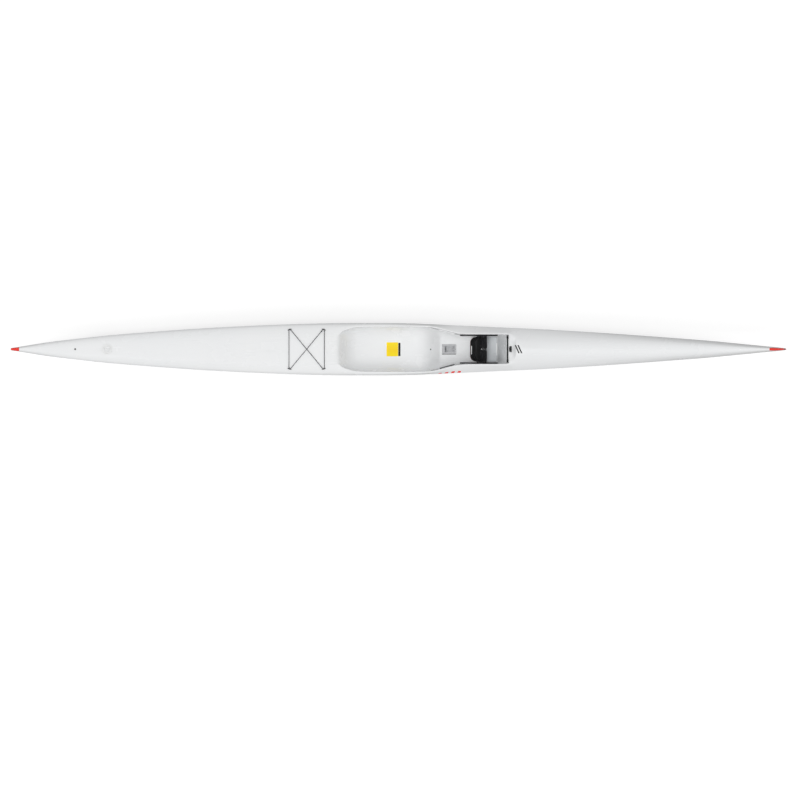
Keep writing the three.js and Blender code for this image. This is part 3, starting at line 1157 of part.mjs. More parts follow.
function makeLeashEye() {
  const deck = deckSurface(LEASH_X, 0) + CLEARANCE;
  const straight = LEASH_HEIGHT - LEASH_RADIUS;
  const shape = new THREE.Shape()
    .moveTo(-LEASH_RADIUS, 0).lineTo(LEASH_RADIUS, 0).lineTo(LEASH_RADIUS, straight)
    .absarc(0, straight, LEASH_RADIUS, 0, Math.PI);
  const plate = along(shape, -LEASH_THICKNESS / 2, LEASH_THICKNESS / 2,
    [circle(0, LEASH_HOLE_HEIGHT, LEASH_HOLE_RADIUS)])
    .rotateY(toRadians(LEASH_TILT) - Math.PI / 2)
    .translate(LEASH_X, 0, deck + LEASH_FOOT_HEIGHT / 2);
  const foot = box(grown([LEASH_X, LEASH_X], LEASH_FOOT / 2), [-LEASH_RADIUS, LEASH_RADIUS],
    [deck, deck + LEASH_FOOT_HEIGHT]);
  add("leash_eye", join(plate, foot), BLACK, 0.5);
}

makeShells();
makeTips();
makeRudder();
makeHatch();
makeDrain();
makeBungee();
makeBailer();
makeRails();
makeFootplate();
makeSliders();
makeStrap();
makeLines();
makeBar();
makeLeashEye();

export default surfski;
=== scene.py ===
import json
import math

import bpy
from mathutils import Matrix, Vector
from mathutils.kdtree import KDTree


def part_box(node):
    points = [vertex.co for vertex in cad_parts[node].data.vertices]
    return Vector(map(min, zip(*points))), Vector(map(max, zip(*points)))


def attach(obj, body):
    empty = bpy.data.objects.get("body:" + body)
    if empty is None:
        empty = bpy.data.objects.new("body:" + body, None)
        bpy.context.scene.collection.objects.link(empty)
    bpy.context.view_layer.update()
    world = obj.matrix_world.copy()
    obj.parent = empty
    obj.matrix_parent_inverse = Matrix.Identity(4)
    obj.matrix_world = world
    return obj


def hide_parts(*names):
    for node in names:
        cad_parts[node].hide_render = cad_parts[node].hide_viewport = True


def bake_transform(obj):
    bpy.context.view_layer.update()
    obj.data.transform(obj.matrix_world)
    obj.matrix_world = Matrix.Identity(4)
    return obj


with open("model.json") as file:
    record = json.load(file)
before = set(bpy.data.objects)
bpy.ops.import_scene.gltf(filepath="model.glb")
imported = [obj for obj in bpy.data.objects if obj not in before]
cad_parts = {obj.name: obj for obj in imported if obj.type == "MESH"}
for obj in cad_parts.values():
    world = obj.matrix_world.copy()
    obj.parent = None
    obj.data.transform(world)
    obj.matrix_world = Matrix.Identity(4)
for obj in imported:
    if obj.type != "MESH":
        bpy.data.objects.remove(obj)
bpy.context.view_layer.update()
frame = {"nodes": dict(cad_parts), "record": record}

bl_info = {
    "name": "Surfski",
    "version": (1, 0, 0),
    "blender": (4, 5, 0),
    "location": "3D View > Sidebar > Surfski",
    "description": "Finishes a racing surfski: painted hull, deck gear, rudder and adjustable footrest",
    "category": "Object",
}

MM = 0.001
# Points nearer than WELD become one, and hull and deck meet where their edges come nearer than SEAM_GAP.
# POLE is the radius in millimetres at which a turned profile reaches its axis.
WELD, SEAM_GAP, POLE = 0.005 * MM, 0.5 * MM, 0.0005
BODY_OF = {node: body for body, nodes in frame["record"]["behaviour"]["bodies"].items() for node in nodes}
SIDES = (("port", 1), ("starboard", -1))
ALONG, ACROSS, UP = Vector((1, 0, 0)), Vector((0, 1, 0)), Vector((0, 0, 1))

# Routes of the cords in metres, those of the lines on the port side
LINE_START = [(-2.4134, 0.045, 0.1263)]
GUIDE_ROUTE = [
    (-2.31, 0.045, 0.1263), (-2.1238, 0.0846, 0.1456), (-1.9339, 0.1116, 0.141), (-1.7431, 0.1321, 0.1388),
    (-1.5518, 0.1477, 0.1369), (-1.3603, 0.1602, 0.1353), (-1.1687, 0.17, 0.1337),
    (-0.9769, 0.1781, 0.1326), (-0.7851, 0.1847, 0.1323), (-0.5933, 0.1895, 0.1322),
    (-0.4014, 0.1921, 0.1312), (-0.2095, 0.1925, 0.1287), (-0.0176, 0.1915, 0.1293), (0.1738, 0.19, 0.14),
    (0.352, 0.1554, 0.2),
]
SLEEVE_MOUTH = [(0.3408, 0.1576, 0.1962)]
SLEEVE_ROUTE = [(0.384, 0.1465, 0.2), (0.41, 0.1397, 0.2), (0.436, 0.1329, 0.2)]
PEDAL_ROUTE = [(0.462, 0.1257, 0.2), (0.7162, 0.103, 0.1921), (0.7245, 0.1023, 0.1918)]
BUNGEE_ROUTE = [
    (-0.904, 0.1538, 0.2347), (-0.9025, 0.1584, 0.2333), (-0.8987, 0.1614, 0.2325),
    (-0.8939, 0.1615, 0.2326), (-0.8898, 0.1589, 0.2336), (-0.8459, 0.106, 0.246), (-0.8019, 0.053, 0.2514),
    (-0.758, 0, 0.2526), (-0.7141, -0.053, 0.2533), (-0.6701, -0.106, 0.2523), (-0.6262, -0.1589, 0.2459),
    (-0.6221, -0.1615, 0.2454), (-0.6173, -0.1614, 0.2458), (-0.6135, -0.1584, 0.2469),
    (-0.612, -0.1538, 0.2483), (-0.612, -0.1026, 0.2547), (-0.612, -0.0513, 0.2546), (-0.612, 0, 0.2545),
    (-0.612, 0.0513, 0.2546), (-0.612, 0.1026, 0.2547), (-0.612, 0.1538, 0.2483), (-0.6135, 0.1584, 0.2469),
    (-0.6173, 0.1614, 0.2458), (-0.6221, 0.1615, 0.2454), (-0.6262, 0.1589, 0.2459),
    (-0.6701, 0.106, 0.2523), (-0.7141, 0.053, 0.2533), (-0.758, 0, 0.2581), (-0.8019, -0.053, 0.2514),
    (-0.8459, -0.106, 0.246), (-0.8898, -0.1589, 0.2336), (-0.8939, -0.1615, 0.2326),
    (-0.8987, -0.1614, 0.2325), (-0.9025, -0.1584, 0.2333), (-0.904, -0.1538, 0.2347),
    (-0.904, -0.1026, 0.2445), (-0.904, -0.0513, 0.2484), (-0.904, 0, 0.2486), (-0.904, 0.0513, 0.2484),
    (-0.904, 0.1026, 0.2445),
]
# Each pad eye's place on the deck, and whether its base points forward, 1, or aft, -1, with this lean to port
EYES = (("port_aft", (-0.8987, 0.1614), 1), ("starboard_fore", (-0.6173, -0.1614), 1),
        ("port_fore", (-0.6173, 0.1614), -1), ("starboard_aft", (-0.8987, -0.1614), -1))
EYE_LEAN = (0.941, 0.339)

# Rows of slanted bars: first and last place, lower and upper edge, pitch and each bar's share of it
BAR_SLANT = 0.42
BOW_BARS = (2.552, 3.1, 0.172, 0.289, 0.13, 0.84)
BLACK_BARS = (-0.06, 0.281, 0.112, 0.193, 0.08, 0.84)
RED_BARS = (0.3, 0.52, 0.133, 0.214, 0.053, 0.5)
LAP_OUT, LAP_HEIGHT = 0.18, 0.18

# The red at the ends: on the stern it starts further forward low down, and at the bow it rises along a curve
STERN_EDGE, STERN_HEIGHT, STERN_LEAN = -3.131, 0.17, 0.17
SWEEP_START, SWEEP_END = 2.8, 3.145
SWEEP = ((0, 0.036), (0.14, 0.05), (0.32, 0.066), (0.55, 0.087), (0.7, 0.105), (0.86, 0.133), (0.935, 0.17),
         (0.97, 0.225), (0.99, 0.33), (1, 0.4))
FLASH_START, FLASH_HEIGHT, FLASH_LOW = 3.062, 0.3716, 0.346
STRIPE_START, STRIPE_RISE, STRIPE = 3.143, 0.2, (0.338, 0.3455)
TIP_SPOT, TIP_SPOT_LOW = (3.182, 3.191), 0.341

# Patches on the deck's floors, which lie below this height: middle, half of length and width, and corner
FLOORS = 0.12
LABEL = ((-0.051, -0.001), (0.048, 0.058), 0.003)
LABEL_BAR = ((0.0075, -0.002), (0.009, 0.055), 0.002)
FLOOR_SPOT = ((0.265, -0.001), (0.005, 0.005), 0.005)
BEDDING = ((0.417, -0.002), (0.0585, 0.042), 0.004)
PANEL_RIM = ((0.768, 0), (0.0455, 0.1025), 0.0165)
PANEL = ((0.768, 0), (0.043, 0.1), 0.014)
# A painted highlight: a white line along the panel's front edge
PANEL_HIGHLIGHT = ((0.811, 0), (0.0035, 0.05), 0.003)
LABEL_FADE = 0.05
# Where the floor folds up in front of the panel, how far the painted shade there reaches, and the two slanted
# strokes on the foredeck
FOLD, FOLD_REACH = 0.8275, (0.002, 0.011)
MARK_SLANT, MARK_START, MARK_END, MARK_PITCH, MARK_REACH = 0.45, 0.974, 1.008, 0.022, 0.034

# The footplate is drawn flat, heel at the origin, and stands at its tilt
HEEL, TILT = Vector((0.622, 0, 0.034)), math.radians(60)
PLATE_ALONG = Vector((math.cos(TILT), 0, math.sin(TILT)))
PLATE_UP = Vector((-PLATE_ALONG.z, 0, PLATE_ALONG.x))


class SkiPaint(bpy.types.PropertyGroup):
    """Colours of the sprayed skin and its plain markings, with a painted highlight and a painted shade on the
    footwell floor
    """

    def colour(label, says, value):
        return bpy.props.FloatVectorProperty(
            name=label, description=says, subtype="COLOR", size=4, min=0, max=1, default=(*value, 1))

    white: colour("Gelcoat white", "Colour of the hull and the deck", (0.85, 0.857, 0.862))
    red: colour("End red", "Colour of both tips and of the sweep along the bow's keel", (0.88, 0.028, 0.012))
    black: colour("Marking black", "Colour of the plain slanted bars", (0.004, 0.0045, 0.005))
    yellow: colour("Patch yellow", "Colour of the blank patch on the seat floor", (0.95, 0.72, 0.0))
    amber: colour("Patch middle", "Deeper yellow in the middle of the patch", (0.93, 0.62, 0.0))
    floor_grey: colour("Floor panel", "Colour of the grip panel before the toe pedals", (0.8, 0.83, 0.85))
    panel_rim: colour("Panel rim", "Colour of the line round the grip panel", (0.45, 0.47, 0.49))
    # Painted highlight: the white of the line along the panel's front edge
    panel_highlight: colour("Panel edge", "Colour of the panel's front edge", (1, 1, 1))
    # Painted shade: the dark colour painted where the floor turns up in front of the panel
    fold_shade: colour("Fold", "Colour of the shaded fold where the floor turns up", (0.3, 0.32, 0.34))
    bedding: colour("Bedding", "Colour of the sealant round the bailer", (0.13, 0.135, 0.14))
    spot: colour("Nose spot", "Colour of the spot on the bow's nose", (0.08, 0.012, 0.01))


class SkiSizes(bpy.types.PropertyGroup):
    """Sizes of what is fitted to the moulded skins"""

    def length(label, says, value):
        return bpy.props.FloatProperty(
            name=label, description=says, unit="LENGTH", min=0, default=value, precision=5)

    seam: length("Seam bead", "Radius of the bead that closes hull and deck along the sheer", 0.0012)
    bungee: length("Bungee", "Radius of the elastic deck cord", 0.0026)
    line: length("Rudder line", "Radius of the lines from the toe pedals to the tiller", 0.0011)
    sleeve: length("Line sleeve", "Outer radius of the sleeves on the footwell walls", 0.0046)
    strap: length("Strap", "Thickness of the foot strap", 0.0032)
    stitch: length("Stitch", "Length of one stitch in the strap", 0.0032)
    rounding: length("Edge rounding", "Width of the rounded edges of moulded fittings", 0.0008)
    smoothing: bpy.props.IntProperty(
        name="Smoothing", description="Subdivision levels of the hull and the deck", min=0, max=3, default=2)


class SkiStudio(bpy.types.PropertyGroup):
    """Floor, lamps and camera"""

    floor: bpy.props.FloatProperty(
        name="Floor", description="Height of the floor, just under the rudder's tip",
        unit="LENGTH", default=-0.206)
    sky: bpy.props.FloatProperty(
        name="Sky", description="Strength of the even light from all round", min=0, default=0.58)
    key: bpy.props.FloatProperty(
        name="Key light", description="Strength of the light from starboard and astern", min=0, default=0.7)
    top: bpy.props.FloatProperty(
        name="Top light", description="Strength of the light from straight above", min=0, default=0.7)
    view_width: bpy.props.FloatProperty(
        name="View width", description="Width of what the camera sees", unit="LENGTH", min=0.1, default=6.602)


# Finishes


class Nodes:
    """A shader tree, put together node by node."""

    def __init__(self, tree):
        self.tree = tree

    def node(self, kind, feeds=None, **settings):
        made = self.tree.nodes.new("ShaderNode" + kind)
        for key, value in settings.items():
            setattr(made, key, value)
        for key, value in (feeds or {}).items():
            self.feed(made.inputs[key], value)
        return made

    def feed(self, socket, value):
        if isinstance(value, bpy.types.Node):
            value = value.outputs[0]
        if isinstance(value, bpy.types.NodeSocket):
            self.tree.links.new(value, socket)
        elif socket.type == "RGBA":
            socket.default_value = (*value[:3], 1)
        else:
            socket.default_value = value

    def math(self, operation, *values):
        return self.node("Math", dict(enumerate(values)), operation=operation).outputs[0]

    def blend(self, share, under, over, blend_type="MIX"):
        made = self.node("Mix", data_type="RGBA", blend_type=blend_type)
        for socket, value in ((0, share), (6, under), (7, over)):
            self.feed(made.inputs[socket], value)
        return made.outputs[2]

    def between(self, value, low, high):
        """1 where the value lies between the two, else 0."""
        return self.math("COMPARE", value, (low + high) / 2, (high - low) / 2)

    def above(self, value, low):
        return self.math("GREATER_THAN", value, low)

    def apart(self, value, place):
        return self.math("ABSOLUTE", self.math("SUBTRACT", value, place))

    def strokes(self, value, start, pitch, share):
        """1 on the first share of each pitch."""
        turn = self.math("FRACT", self.math("DIVIDE", self.math("SUBTRACT", value, start), pitch))
        return self.math("LESS_THAN", turn, share)

    def all_of(self, *masks):
        mask = masks[0]
        for other in masks[1:]:
            mask = self.math("MULTIPLY", mask, other)
        return mask

    def remap(self, value, low, high, to_low, to_high):
        return self.node("MapRange", dict(enumerate((value, low, high, to_low, to_high)))).outputs[0]

    def seen(self):
        """1 for what the camera sees, also through clear pieces, and 0 for light that bounces."""
        rays = self.node("LightPath").outputs
        return self.math("MAXIMUM", rays["Is Camera Ray"], rays["Is Transmission Ray"])


class Finish(Nodes):
    """One procedural material."""

    def __init__(self, name, **settings):
        self.material = bpy.data.materials.new(name)
        self.material.use_nodes = True
        super().__init__(self.material.node_tree)
        self.tree.nodes.clear()
        self.shader = self.node("BsdfPrincipled", settings)
        self.node("OutputMaterial", {"Surface": self.shader})
        self.coordinates = self.node("TexCoord")
        self.x, self.y, self.z = self.node("SeparateXYZ", {0: self.coordinates.outputs["Object"]}).outputs

    def noise(self, scale, detail=2.0, factors=(1, 1, 1)):
        vector = self.node("Mapping", {"Vector": self.coordinates.outputs["Object"], "Scale": factors})
        return self.node("TexNoise", {"Vector": vector, "Scale": scale, "Detail": detail}).outputs[0]

    def uneven(self, scale, low, high, detail=3.0, factors=(1, 1, 1)):
        """A value that drifts over the surface between the two."""
        return self.remap(self.noise(scale, detail, factors), 0.3, 0.7, low, high)

    def bump(self, height, strength, distance):
        self.feed(self.shader.inputs["Normal"], self.node(
            "Bump", {"Height": height, "Strength": strength, "Distance": distance}))

    def patch(self, middle, half, corner):
        """1 inside a rectangle with round corners, drawn on the deck from above."""
        squares = []
        for at, centre, reach in zip((self.x, self.y), middle, half):
            beyond = self.math("MAXIMUM", self.math("SUBTRACT", self.apart(at, centre), reach - corner), 0.0)
            squares.append(self.math("MULTIPLY", beyond, beyond))
        return self.math("LESS_THAN", self.math("ADD", *squares), corner * corner)

    def bars(self, start, end, low, high, pitch, share):
        """1 on a row of slanted bars on the hull's sides."""
        leaned = self.math("SUBTRACT", self.x, self.math("MULTIPLY", self.z, BAR_SLANT))
        start, end = start - BAR_SLANT * low, end - BAR_SLANT * high
        return self.all_of(self.strokes(leaned, start, pitch, share), self.between(leaned, start, end),
                           self.between(self.z, low, high))

    def colour(self, value):
        self.feed(self.shader.inputs["Base Color"], value)

    def roughness(self, value):
        self.feed(self.shader.inputs["Roughness"], value)


def shade(colour, share):
    return tuple(share * part for part in colour[:3])


def gelcoat(name, paint):
    """A sprayed and polished skin: clouds, orange peel and fine rubbing marks under a clear coat."""
    look = Finish(name, **{"Coat Weight": 0.35, "Coat Roughness": 0.06, "IOR": 1.5})
    clouds = look.uneven(1.3, 0, 0.5, 2.0)
    colour = look.blend(clouds, paint(look), (0.955, 0.965, 0.975), "MULTIPLY")
    rubbed = look.remap(look.noise(26, 6.0, (0.05, 1, 1)), 0.55, 0.85, 0, 0.14)
    look.colour(look.blend(rubbed, colour, (0.72, 0.73, 0.74), "MULTIPLY"))
    look.roughness(look.math("ADD", look.uneven(5, 0.2, 0.3), rubbed))
    look.bump(look.noise(75, 2.0), 0.12, 0.0006)
    return look.material


def stern_end(look):
    """The red of the stern, which laps onto the skins."""
    reach = look.math("ADD", look.x, look.math("MULTIPLY", look.z, STERN_LEAN))
    return look.math("LESS_THAN", reach, STERN_EDGE + STERN_LEAN * STERN_HEIGHT)


def hull_paint(look):
    """White with a row of bars on the bow and two rows amidships, and a red keel at the bow."""
    paint = bpy.context.scene.ski_paint
    dark = look.math("MAXIMUM", look.bars(*BOW_BARS), look.bars(*BLACK_BARS))
    colour = look.blend(dark, paint.white, paint.black)
    colour = look.blend(look.bars(*RED_BARS), colour, paint.red)
    sweep = look.node("FloatCurve", {1: look.remap(look.x, SWEEP_START, SWEEP_END, 0, 1)})
    points = sweep.mapping.curves[0].points
    points[0].location, points[1].location = SWEEP[0], SWEEP[-1]
    for place in SWEEP[1:-1]:
        points.new(*place)
    sweep.mapping.update()
    red = look.all_of(look.math("LESS_THAN", look.z, sweep), look.above(look.x, SWEEP_START))
    return look.blend(look.math("MAXIMUM", red, stern_end(look)), colour, paint.red)


def deck_paint(look):
    """White with patches on its low floors, a painted highlight on the panel's front edge and a painted shade
    where the floor turns up before it, a mark on the foredeck, red laps and a red flash at the bow.
    """
    paint = bpy.context.scene.ski_paint
    middle = look.remap(look.apart(look.y, LABEL[0][1]), 0, LABEL_FADE, 0.7, 0)
    yellow = look.blend(middle, paint.yellow, paint.amber)
    low = look.math("LESS_THAN", look.z, FLOORS)
    colour = paint.white
    # Among these patches, the white line at the panel's front edge is a painted highlight
    for patch, over in ((LABEL, yellow), (LABEL_BAR, paint.black), (FLOOR_SPOT, paint.black),
                        (BEDDING, paint.bedding), (PANEL_RIM, paint.panel_rim), (PANEL, paint.floor_grey),
                        (PANEL_HIGHLIGHT, paint.panel_highlight)):
        colour = look.blend(look.all_of(low, look.patch(*patch)), colour, over)
    aslant = look.math("ADD", look.x, look.math("MULTIPLY", look.y, MARK_SLANT))
    mark = look.all_of(look.between(look.y, -MARK_REACH, MARK_REACH),
                       look.between(aslant, MARK_START, MARK_END),
                       look.strokes(aslant, MARK_START, MARK_PITCH, 0.5))
    colour = look.blend(mark, colour, paint.black)
    # Painted shade: the floor is painted darker where it turns up in front of the panel
    fold_shade = look.math("MULTIPLY", low, look.remap(look.apart(look.x, FOLD), *FOLD_REACH, 0.24, 0))
    colour = look.blend(fold_shade, colour, paint.fold_shade)
    lapped = look.all_of(look.math("LESS_THAN", look.y, -LAP_OUT), look.above(look.z, LAP_HEIGHT),
                         look.bars(*RED_BARS))
    colour = look.blend(lapped, colour, paint.red)
    slope = look.math("SUBTRACT", FLASH_HEIGHT + BAR_SLANT * FLASH_START, look.math(
        "MULTIPLY", look.x, BAR_SLANT))
    flash = look.all_of(look.above(look.z, look.math("MAXIMUM", slope, FLASH_LOW)),
                        look.above(look.x, FLASH_START))
    return look.blend(look.math("MAXIMUM", flash, stern_end(look)), colour, paint.red)


def tip_paint(look):
    """Red with a white stripe along the bow's shoulder and a dark spot on its nose."""
    paint = bpy.context.scene.ski_paint
    rise = look.math("MULTIPLY", look.math("SUBTRACT", look.x, STRIPE_START), STRIPE_RISE)
    stripe = look.between(look.math("SUBTRACT", look.z, rise), *STRIPE)
    colour = look.blend(stripe, paint.red, paint.white)
    spot = look.all_of(look.between(look.x, *TIP_SPOT), look.above(look.z, TIP_SPOT_LOW))
    return look.blend(spot, colour, paint.spot)


def seam_paint(look):
    """The seam is white like the skins, a little duller, and red at both ends."""
    paint = bpy.context.scene.ski_paint
    return look.blend(stern_end(look), shade(paint.white, 0.93), paint.red)


def moulded(name, colour, worn, grain=0.25, rough=(0.38, 0.56), shine=0.5):
    """Moulded plastic: a fine grain, uneven gloss and paler, rubbed edges."""
    look = Finish(name, **{"IOR": 1.48, "Specular IOR Level": shine})
    edges = look.remap(look.node("NewGeometry").outputs["Pointiness"], 0.52, 0.6, 0, 0.6)
    tone = look.blend(look.uneven(35, 0, 0.35), colour, shade(colour, 0.72))
    look.colour(look.blend(edges, tone, worn))
    look.roughness(look.uneven(60, *rough))
    look.bump(look.noise(900, 3.0), grain, 0.0002)
    return look.material


def metal(name, colour, factors, rough=(0.24, 0.4)):
    """Metal with a fine brushed or cast grain and small stains."""
    look = Finish(name, Metallic=1.0, Anisotropic=0.3)
    stains = look.remap(look.noise(45, 4.0), 0.55, 0.75, 0, 0.3)
    look.colour(look.blend(stains, colour, shade(colour, 0.62)))
    look.roughness(look.uneven(160, *rough, factors=factors))
    look.bump(look.noise(420, 3.0, factors), 0.12, 0.0002)
    return look.material


def laminate(name, colour, crown, scuffed):
    """Dark fibre laminate under a satin coat: a fine twill just shows, its crowns painted lighter as a
    painted sheen.
    """
    look = Finish(name, **{"Coat Weight": 0.1, "Coat Roughness": 0.15, "Specular IOR Level": 0.3})
    wale = look.math("SINE", look.math("MULTIPLY", look.math("ADD", look.x, look.z), 2400))
    weft = look.math("SINE", look.math("MULTIPLY", look.math("SUBTRACT", look.x, look.z), 1200))
    twill = look.remap(look.math("MULTIPLY", wale, weft), -1, 1, 0, 1)
    scuffs = look.remap(look.noise(30, 6.0, (0.3, 1, 3)), 0.62, 0.78, 0, 0.5)
    # Painted sheen: the twill's crowns are painted lighter than the fibre between them
    look.colour(look.blend(scuffs, look.blend(twill, colour, crown), scuffed))
    look.roughness(look.uneven(12, 0.28, 0.42))
    look.bump(twill, 0.1, 0.0002)
    return look.material


def braid(name, colour, fleck, turns, repeats):
    """A braided cover: two sets of strands that cross round the cord, with a tracer thread, and painted shade
    in the hollows between the strands.
    """
    look = Finish(name, **{"Sheen Weight": 0.1, "Roughness": 0.75, "Specular IOR Level": 0.2})
    u, v, _ = look.node("SeparateXYZ", {0: look.coordinates.outputs["UV"]}).outputs
    once = look.math("MULTIPLY", v, 2 * math.pi)
    around = look.math("MULTIPLY", v, 2 * math.pi * turns)
    ahead = look.math("MULTIPLY", u, 2 * math.pi * repeats)
    strands = look.math("MAXIMUM", look.math("SINE", look.math("ADD", around, ahead)),
                        look.math("SINE", look.math("SUBTRACT", around, ahead)))
    thread = look.math("SINE", look.math("ADD", once, look.math("MULTIPLY", ahead, 0.25)))
    height = look.remap(strands, -1, 1, 0, 1)
    # Painted shade: the hollows between strands are painted darker
    tone = look.blend(height, shade(colour, 0.35), colour)
    look.colour(look.blend(look.above(thread, 0.93), tone, fleck))
    look.bump(height, 0.8, 0.0006)
    return look.material


def woven(name, colour, across, along):
    """Plain webbing, woven across and along, a little faded on the crowns of its threads, and painted darker
    in the hollows between them as a painted shade.
    """
    look = Finish(name, **{"Sheen Weight": 0.03, "Sheen Roughness": 0.5, "Roughness": 0.85,
                           "Specular IOR Level": 0.1})
    u, v, _ = look.node("SeparateXYZ", {0: look.coordinates.outputs["UV"]}).outputs
    weft = look.math("SINE", look.math("MULTIPLY", u, 2 * math.pi * across))
    warp = look.math("SINE", look.math("MULTIPLY", v, 2 * math.pi * along))
    height = look.remap(look.math("MULTIPLY", weft, warp), -1, 1, 0, 1)
    faded = look.blend(look.uneven(40, 0, 0.5), colour, shade(colour, 1.6))
    # Painted shade: the hollows between threads are painted darker
    look.colour(look.blend(height, shade(colour, 0.45), faded))
    look.bump(height, 0.7, 0.0005)
    return look.material


def floor_finish():
    """A pale floor that reads as white, still takes a shadow, and sends little light back up."""
    look = Finish("studio_floor", Roughness=0.9)
    tone = look.blend(look.uneven(0.8, 0, 1), (0.5, 0.5, 0.5), (0.49, 0.49, 0.49))
    look.colour(look.blend(look.node("LightPath").outputs["Is Diffuse Ray"], tone, (0.3, 0.295, 0.29)))
    look.feed(look.shader.inputs["Emission Color"], (1, 1, 1))
    look.feed(look.shader.inputs["Emission Strength"], look.math("MULTIPLY", look.seen(), 0.6))
    return look.material


def finishes():
    """Every finish by the name of its slot, or by its own name where a slot has several."""
    return {
        "hull": gelcoat("gelcoat_hull", hull_paint),
        "deck": gelcoat("gelcoat_deck", deck_paint),
        "red_gelcoat": gelcoat("gelcoat_tips", tip_paint),
        "seam": gelcoat("gelcoat_seam", seam_paint),
        "rudder_laminate": laminate(
            "dark_laminate", (0.006, 0.0065, 0.01), (0.014, 0.015, 0.02), (0.05, 0.05, 0.056)),
        "black_plastic": moulded("black_moulded", (0.008, 0.008, 0.009), (0.035, 0.036, 0.038), shine=0.18),
        "grey_plastic": moulded("grey_moulded", (0.09, 0.09, 0.095), (0.14, 0.14, 0.145), shine=0.2),
        "light_plastic": moulded("pale_moulded", (0.83, 0.838, 0.84), (0.87, 0.87, 0.865), 0.15),
        "rubber": moulded("black_rubber", (0.01, 0.01, 0.0105), (0.03, 0.03, 0.03), 0.4, (0.7, 0.85), 0.15),
        "cast_aluminium": metal("cast_alloy", (0.5, 0.52, 0.54), (1, 1, 1), (0.35, 0.5)),
        "stainless": metal("brushed_steel", (0.79, 0.8, 0.82), (0.1, 1, 1)),
        "dark_steel": metal("blackened_steel", (0.05, 0.05, 0.055), (1, 0.1, 1), (0.4, 0.55)),
        "elastic_cord": braid("elastic_braid", (0.05, 0.05, 0.055), (0.3, 0.3, 0.32), 8, 420),
        "rudder_cord": braid("line_braid", (0.045, 0.045, 0.05), (0.2, 0.2, 0.21), 6, 1400),
        "webbing": woven("black_webbing", (0.007, 0.007, 0.0075), 34, 150),
        "binding": braid("red_binding", (0.22, 0.012, 0.015), (0.3, 0.02, 0.02), 4, 110),
        "thread": braid("grey_thread", (0.07, 0.07, 0.072), (0.1, 0.1, 0.1), 2, 3),
    }


# Shaping


def alone(piece):
    """Selects one object and nothing else."""
    bpy.ops.object.select_all(action="DESELECT")
    bpy.context.view_layer.objects.active = piece
    piece.select_set(True)
    return piece


def edit(piece):
    alone(piece)
    bpy.ops.object.mode_set(mode="EDIT")
    bpy.ops.mesh.select_all(action="SELECT")


def done():
    bpy.ops.object.mode_set(mode="OBJECT")


def named(name):
    """Names the object that was just added, and puts its place into its mesh."""
    piece = bpy.context.view_layer.objects.active
    piece.name = piece.data.name = name
    alone(piece)
    bpy.ops.object.transform_apply(location=True, rotation=True, scale=True)
    return piece


def modified(piece, kind, **settings):
    """Adds one modifier and applies it."""
    alone(piece)
    modifier = piece.modifiers.new(kind.title(), kind)
    for key, value in settings.items():
        setattr(modifier, key, value)
    bpy.ops.object.modifier_apply(modifier=modifier.name)
    return piece


def rounded(piece, width, angle=30, segments=2):
    return modified(piece, "BEVEL", width=width, segments=segments, limit_method="ANGLE",
                    angle_limit=math.radians(angle), use_clamp_overlap=True)


def smooth(piece, angle=35):
    alone(piece)
    bpy.ops.object.shade_smooth_by_angle(angle=math.radians(angle))
    return piece


def joined(name, *pieces):
    alone(pieces[0])
    for piece in pieces[1:]:
        piece.select_set(True)
    bpy.ops.object.join()
    return named(name)


def linked(name, data):
    """A new object at the origin with this mesh or curve."""
    piece = bpy.data.objects.new(name, data)
    bpy.context.scene.collection.objects.link(piece)
    return piece


def copied(node, name):
    """A copy of a frame node with its loose triangles merged."""
    piece = alone(linked(name, frame["nodes"][node].data.copy()))
    if piece.data.has_custom_normals:
        bpy.ops.mesh.customdata_custom_splitnormals_clear()
    edit(piece)
    bpy.ops.mesh.remove_doubles(threshold=2 * WELD)
    done()
    return piece


def fitted(piece, finish, body, *nodes, slot=None):
    """Gives a piece its finish, and seats it on the frame."""
    piece.data.materials.clear()
    piece.data.materials.append(FINISHES[finish])
    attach(piece, body)
    slot or finish
    if nodes:
        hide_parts(*nodes)
    return piece


def dressed(node, finish, width=None, shading=35):
    """A rigid frame node with clean faces and softened edges."""
    piece = copied(node, node + "_finished")
    edit(piece)
    bpy.ops.mesh.dissolve_limited(angle_limit=math.radians(0.5))
    done()
    rounded(piece, width or bpy.context.scene.ski_sizes.rounding)
    return fitted(smooth(piece, shading), finish, BODY_OF[node], node)


def moulding(node, name, finish, slot, levels, angle=34, soften=None):
    """A moulded skin: the frame node's faces paired into quads and subdivided, with its real edges kept."""
    piece = copied(node, name)
    edit(piece)
    bpy.ops.mesh.tris_convert_to_quads(face_threshold=math.radians(40), shape_threshold=math.radians(60))
    bpy.ops.mesh.select_all(action="DESELECT")
    bpy.ops.mesh.select_mode(type="EDGE")
    bpy.ops.mesh.edges_select_sharp(sharpness=math.radians(angle))
    bpy.ops.transform.edge_crease(value=0.9)
    bpy.ops.mesh.select_mode(type="VERT")
    done()
    if soften:
        creases = piece.data.attributes["crease_edge"].data
        for line in piece.data.edges:
            middle = sum((piece.data.vertices[i].co for i in line.vertices), Vector()) / 2
            creases[line.index].value *= soften(middle)
    if levels:
        modified(piece, "SUBSURF", levels=levels, render_levels=levels)
    return fitted(smooth(piece, 40), finish, BODY_OF[node], node, slot=slot)


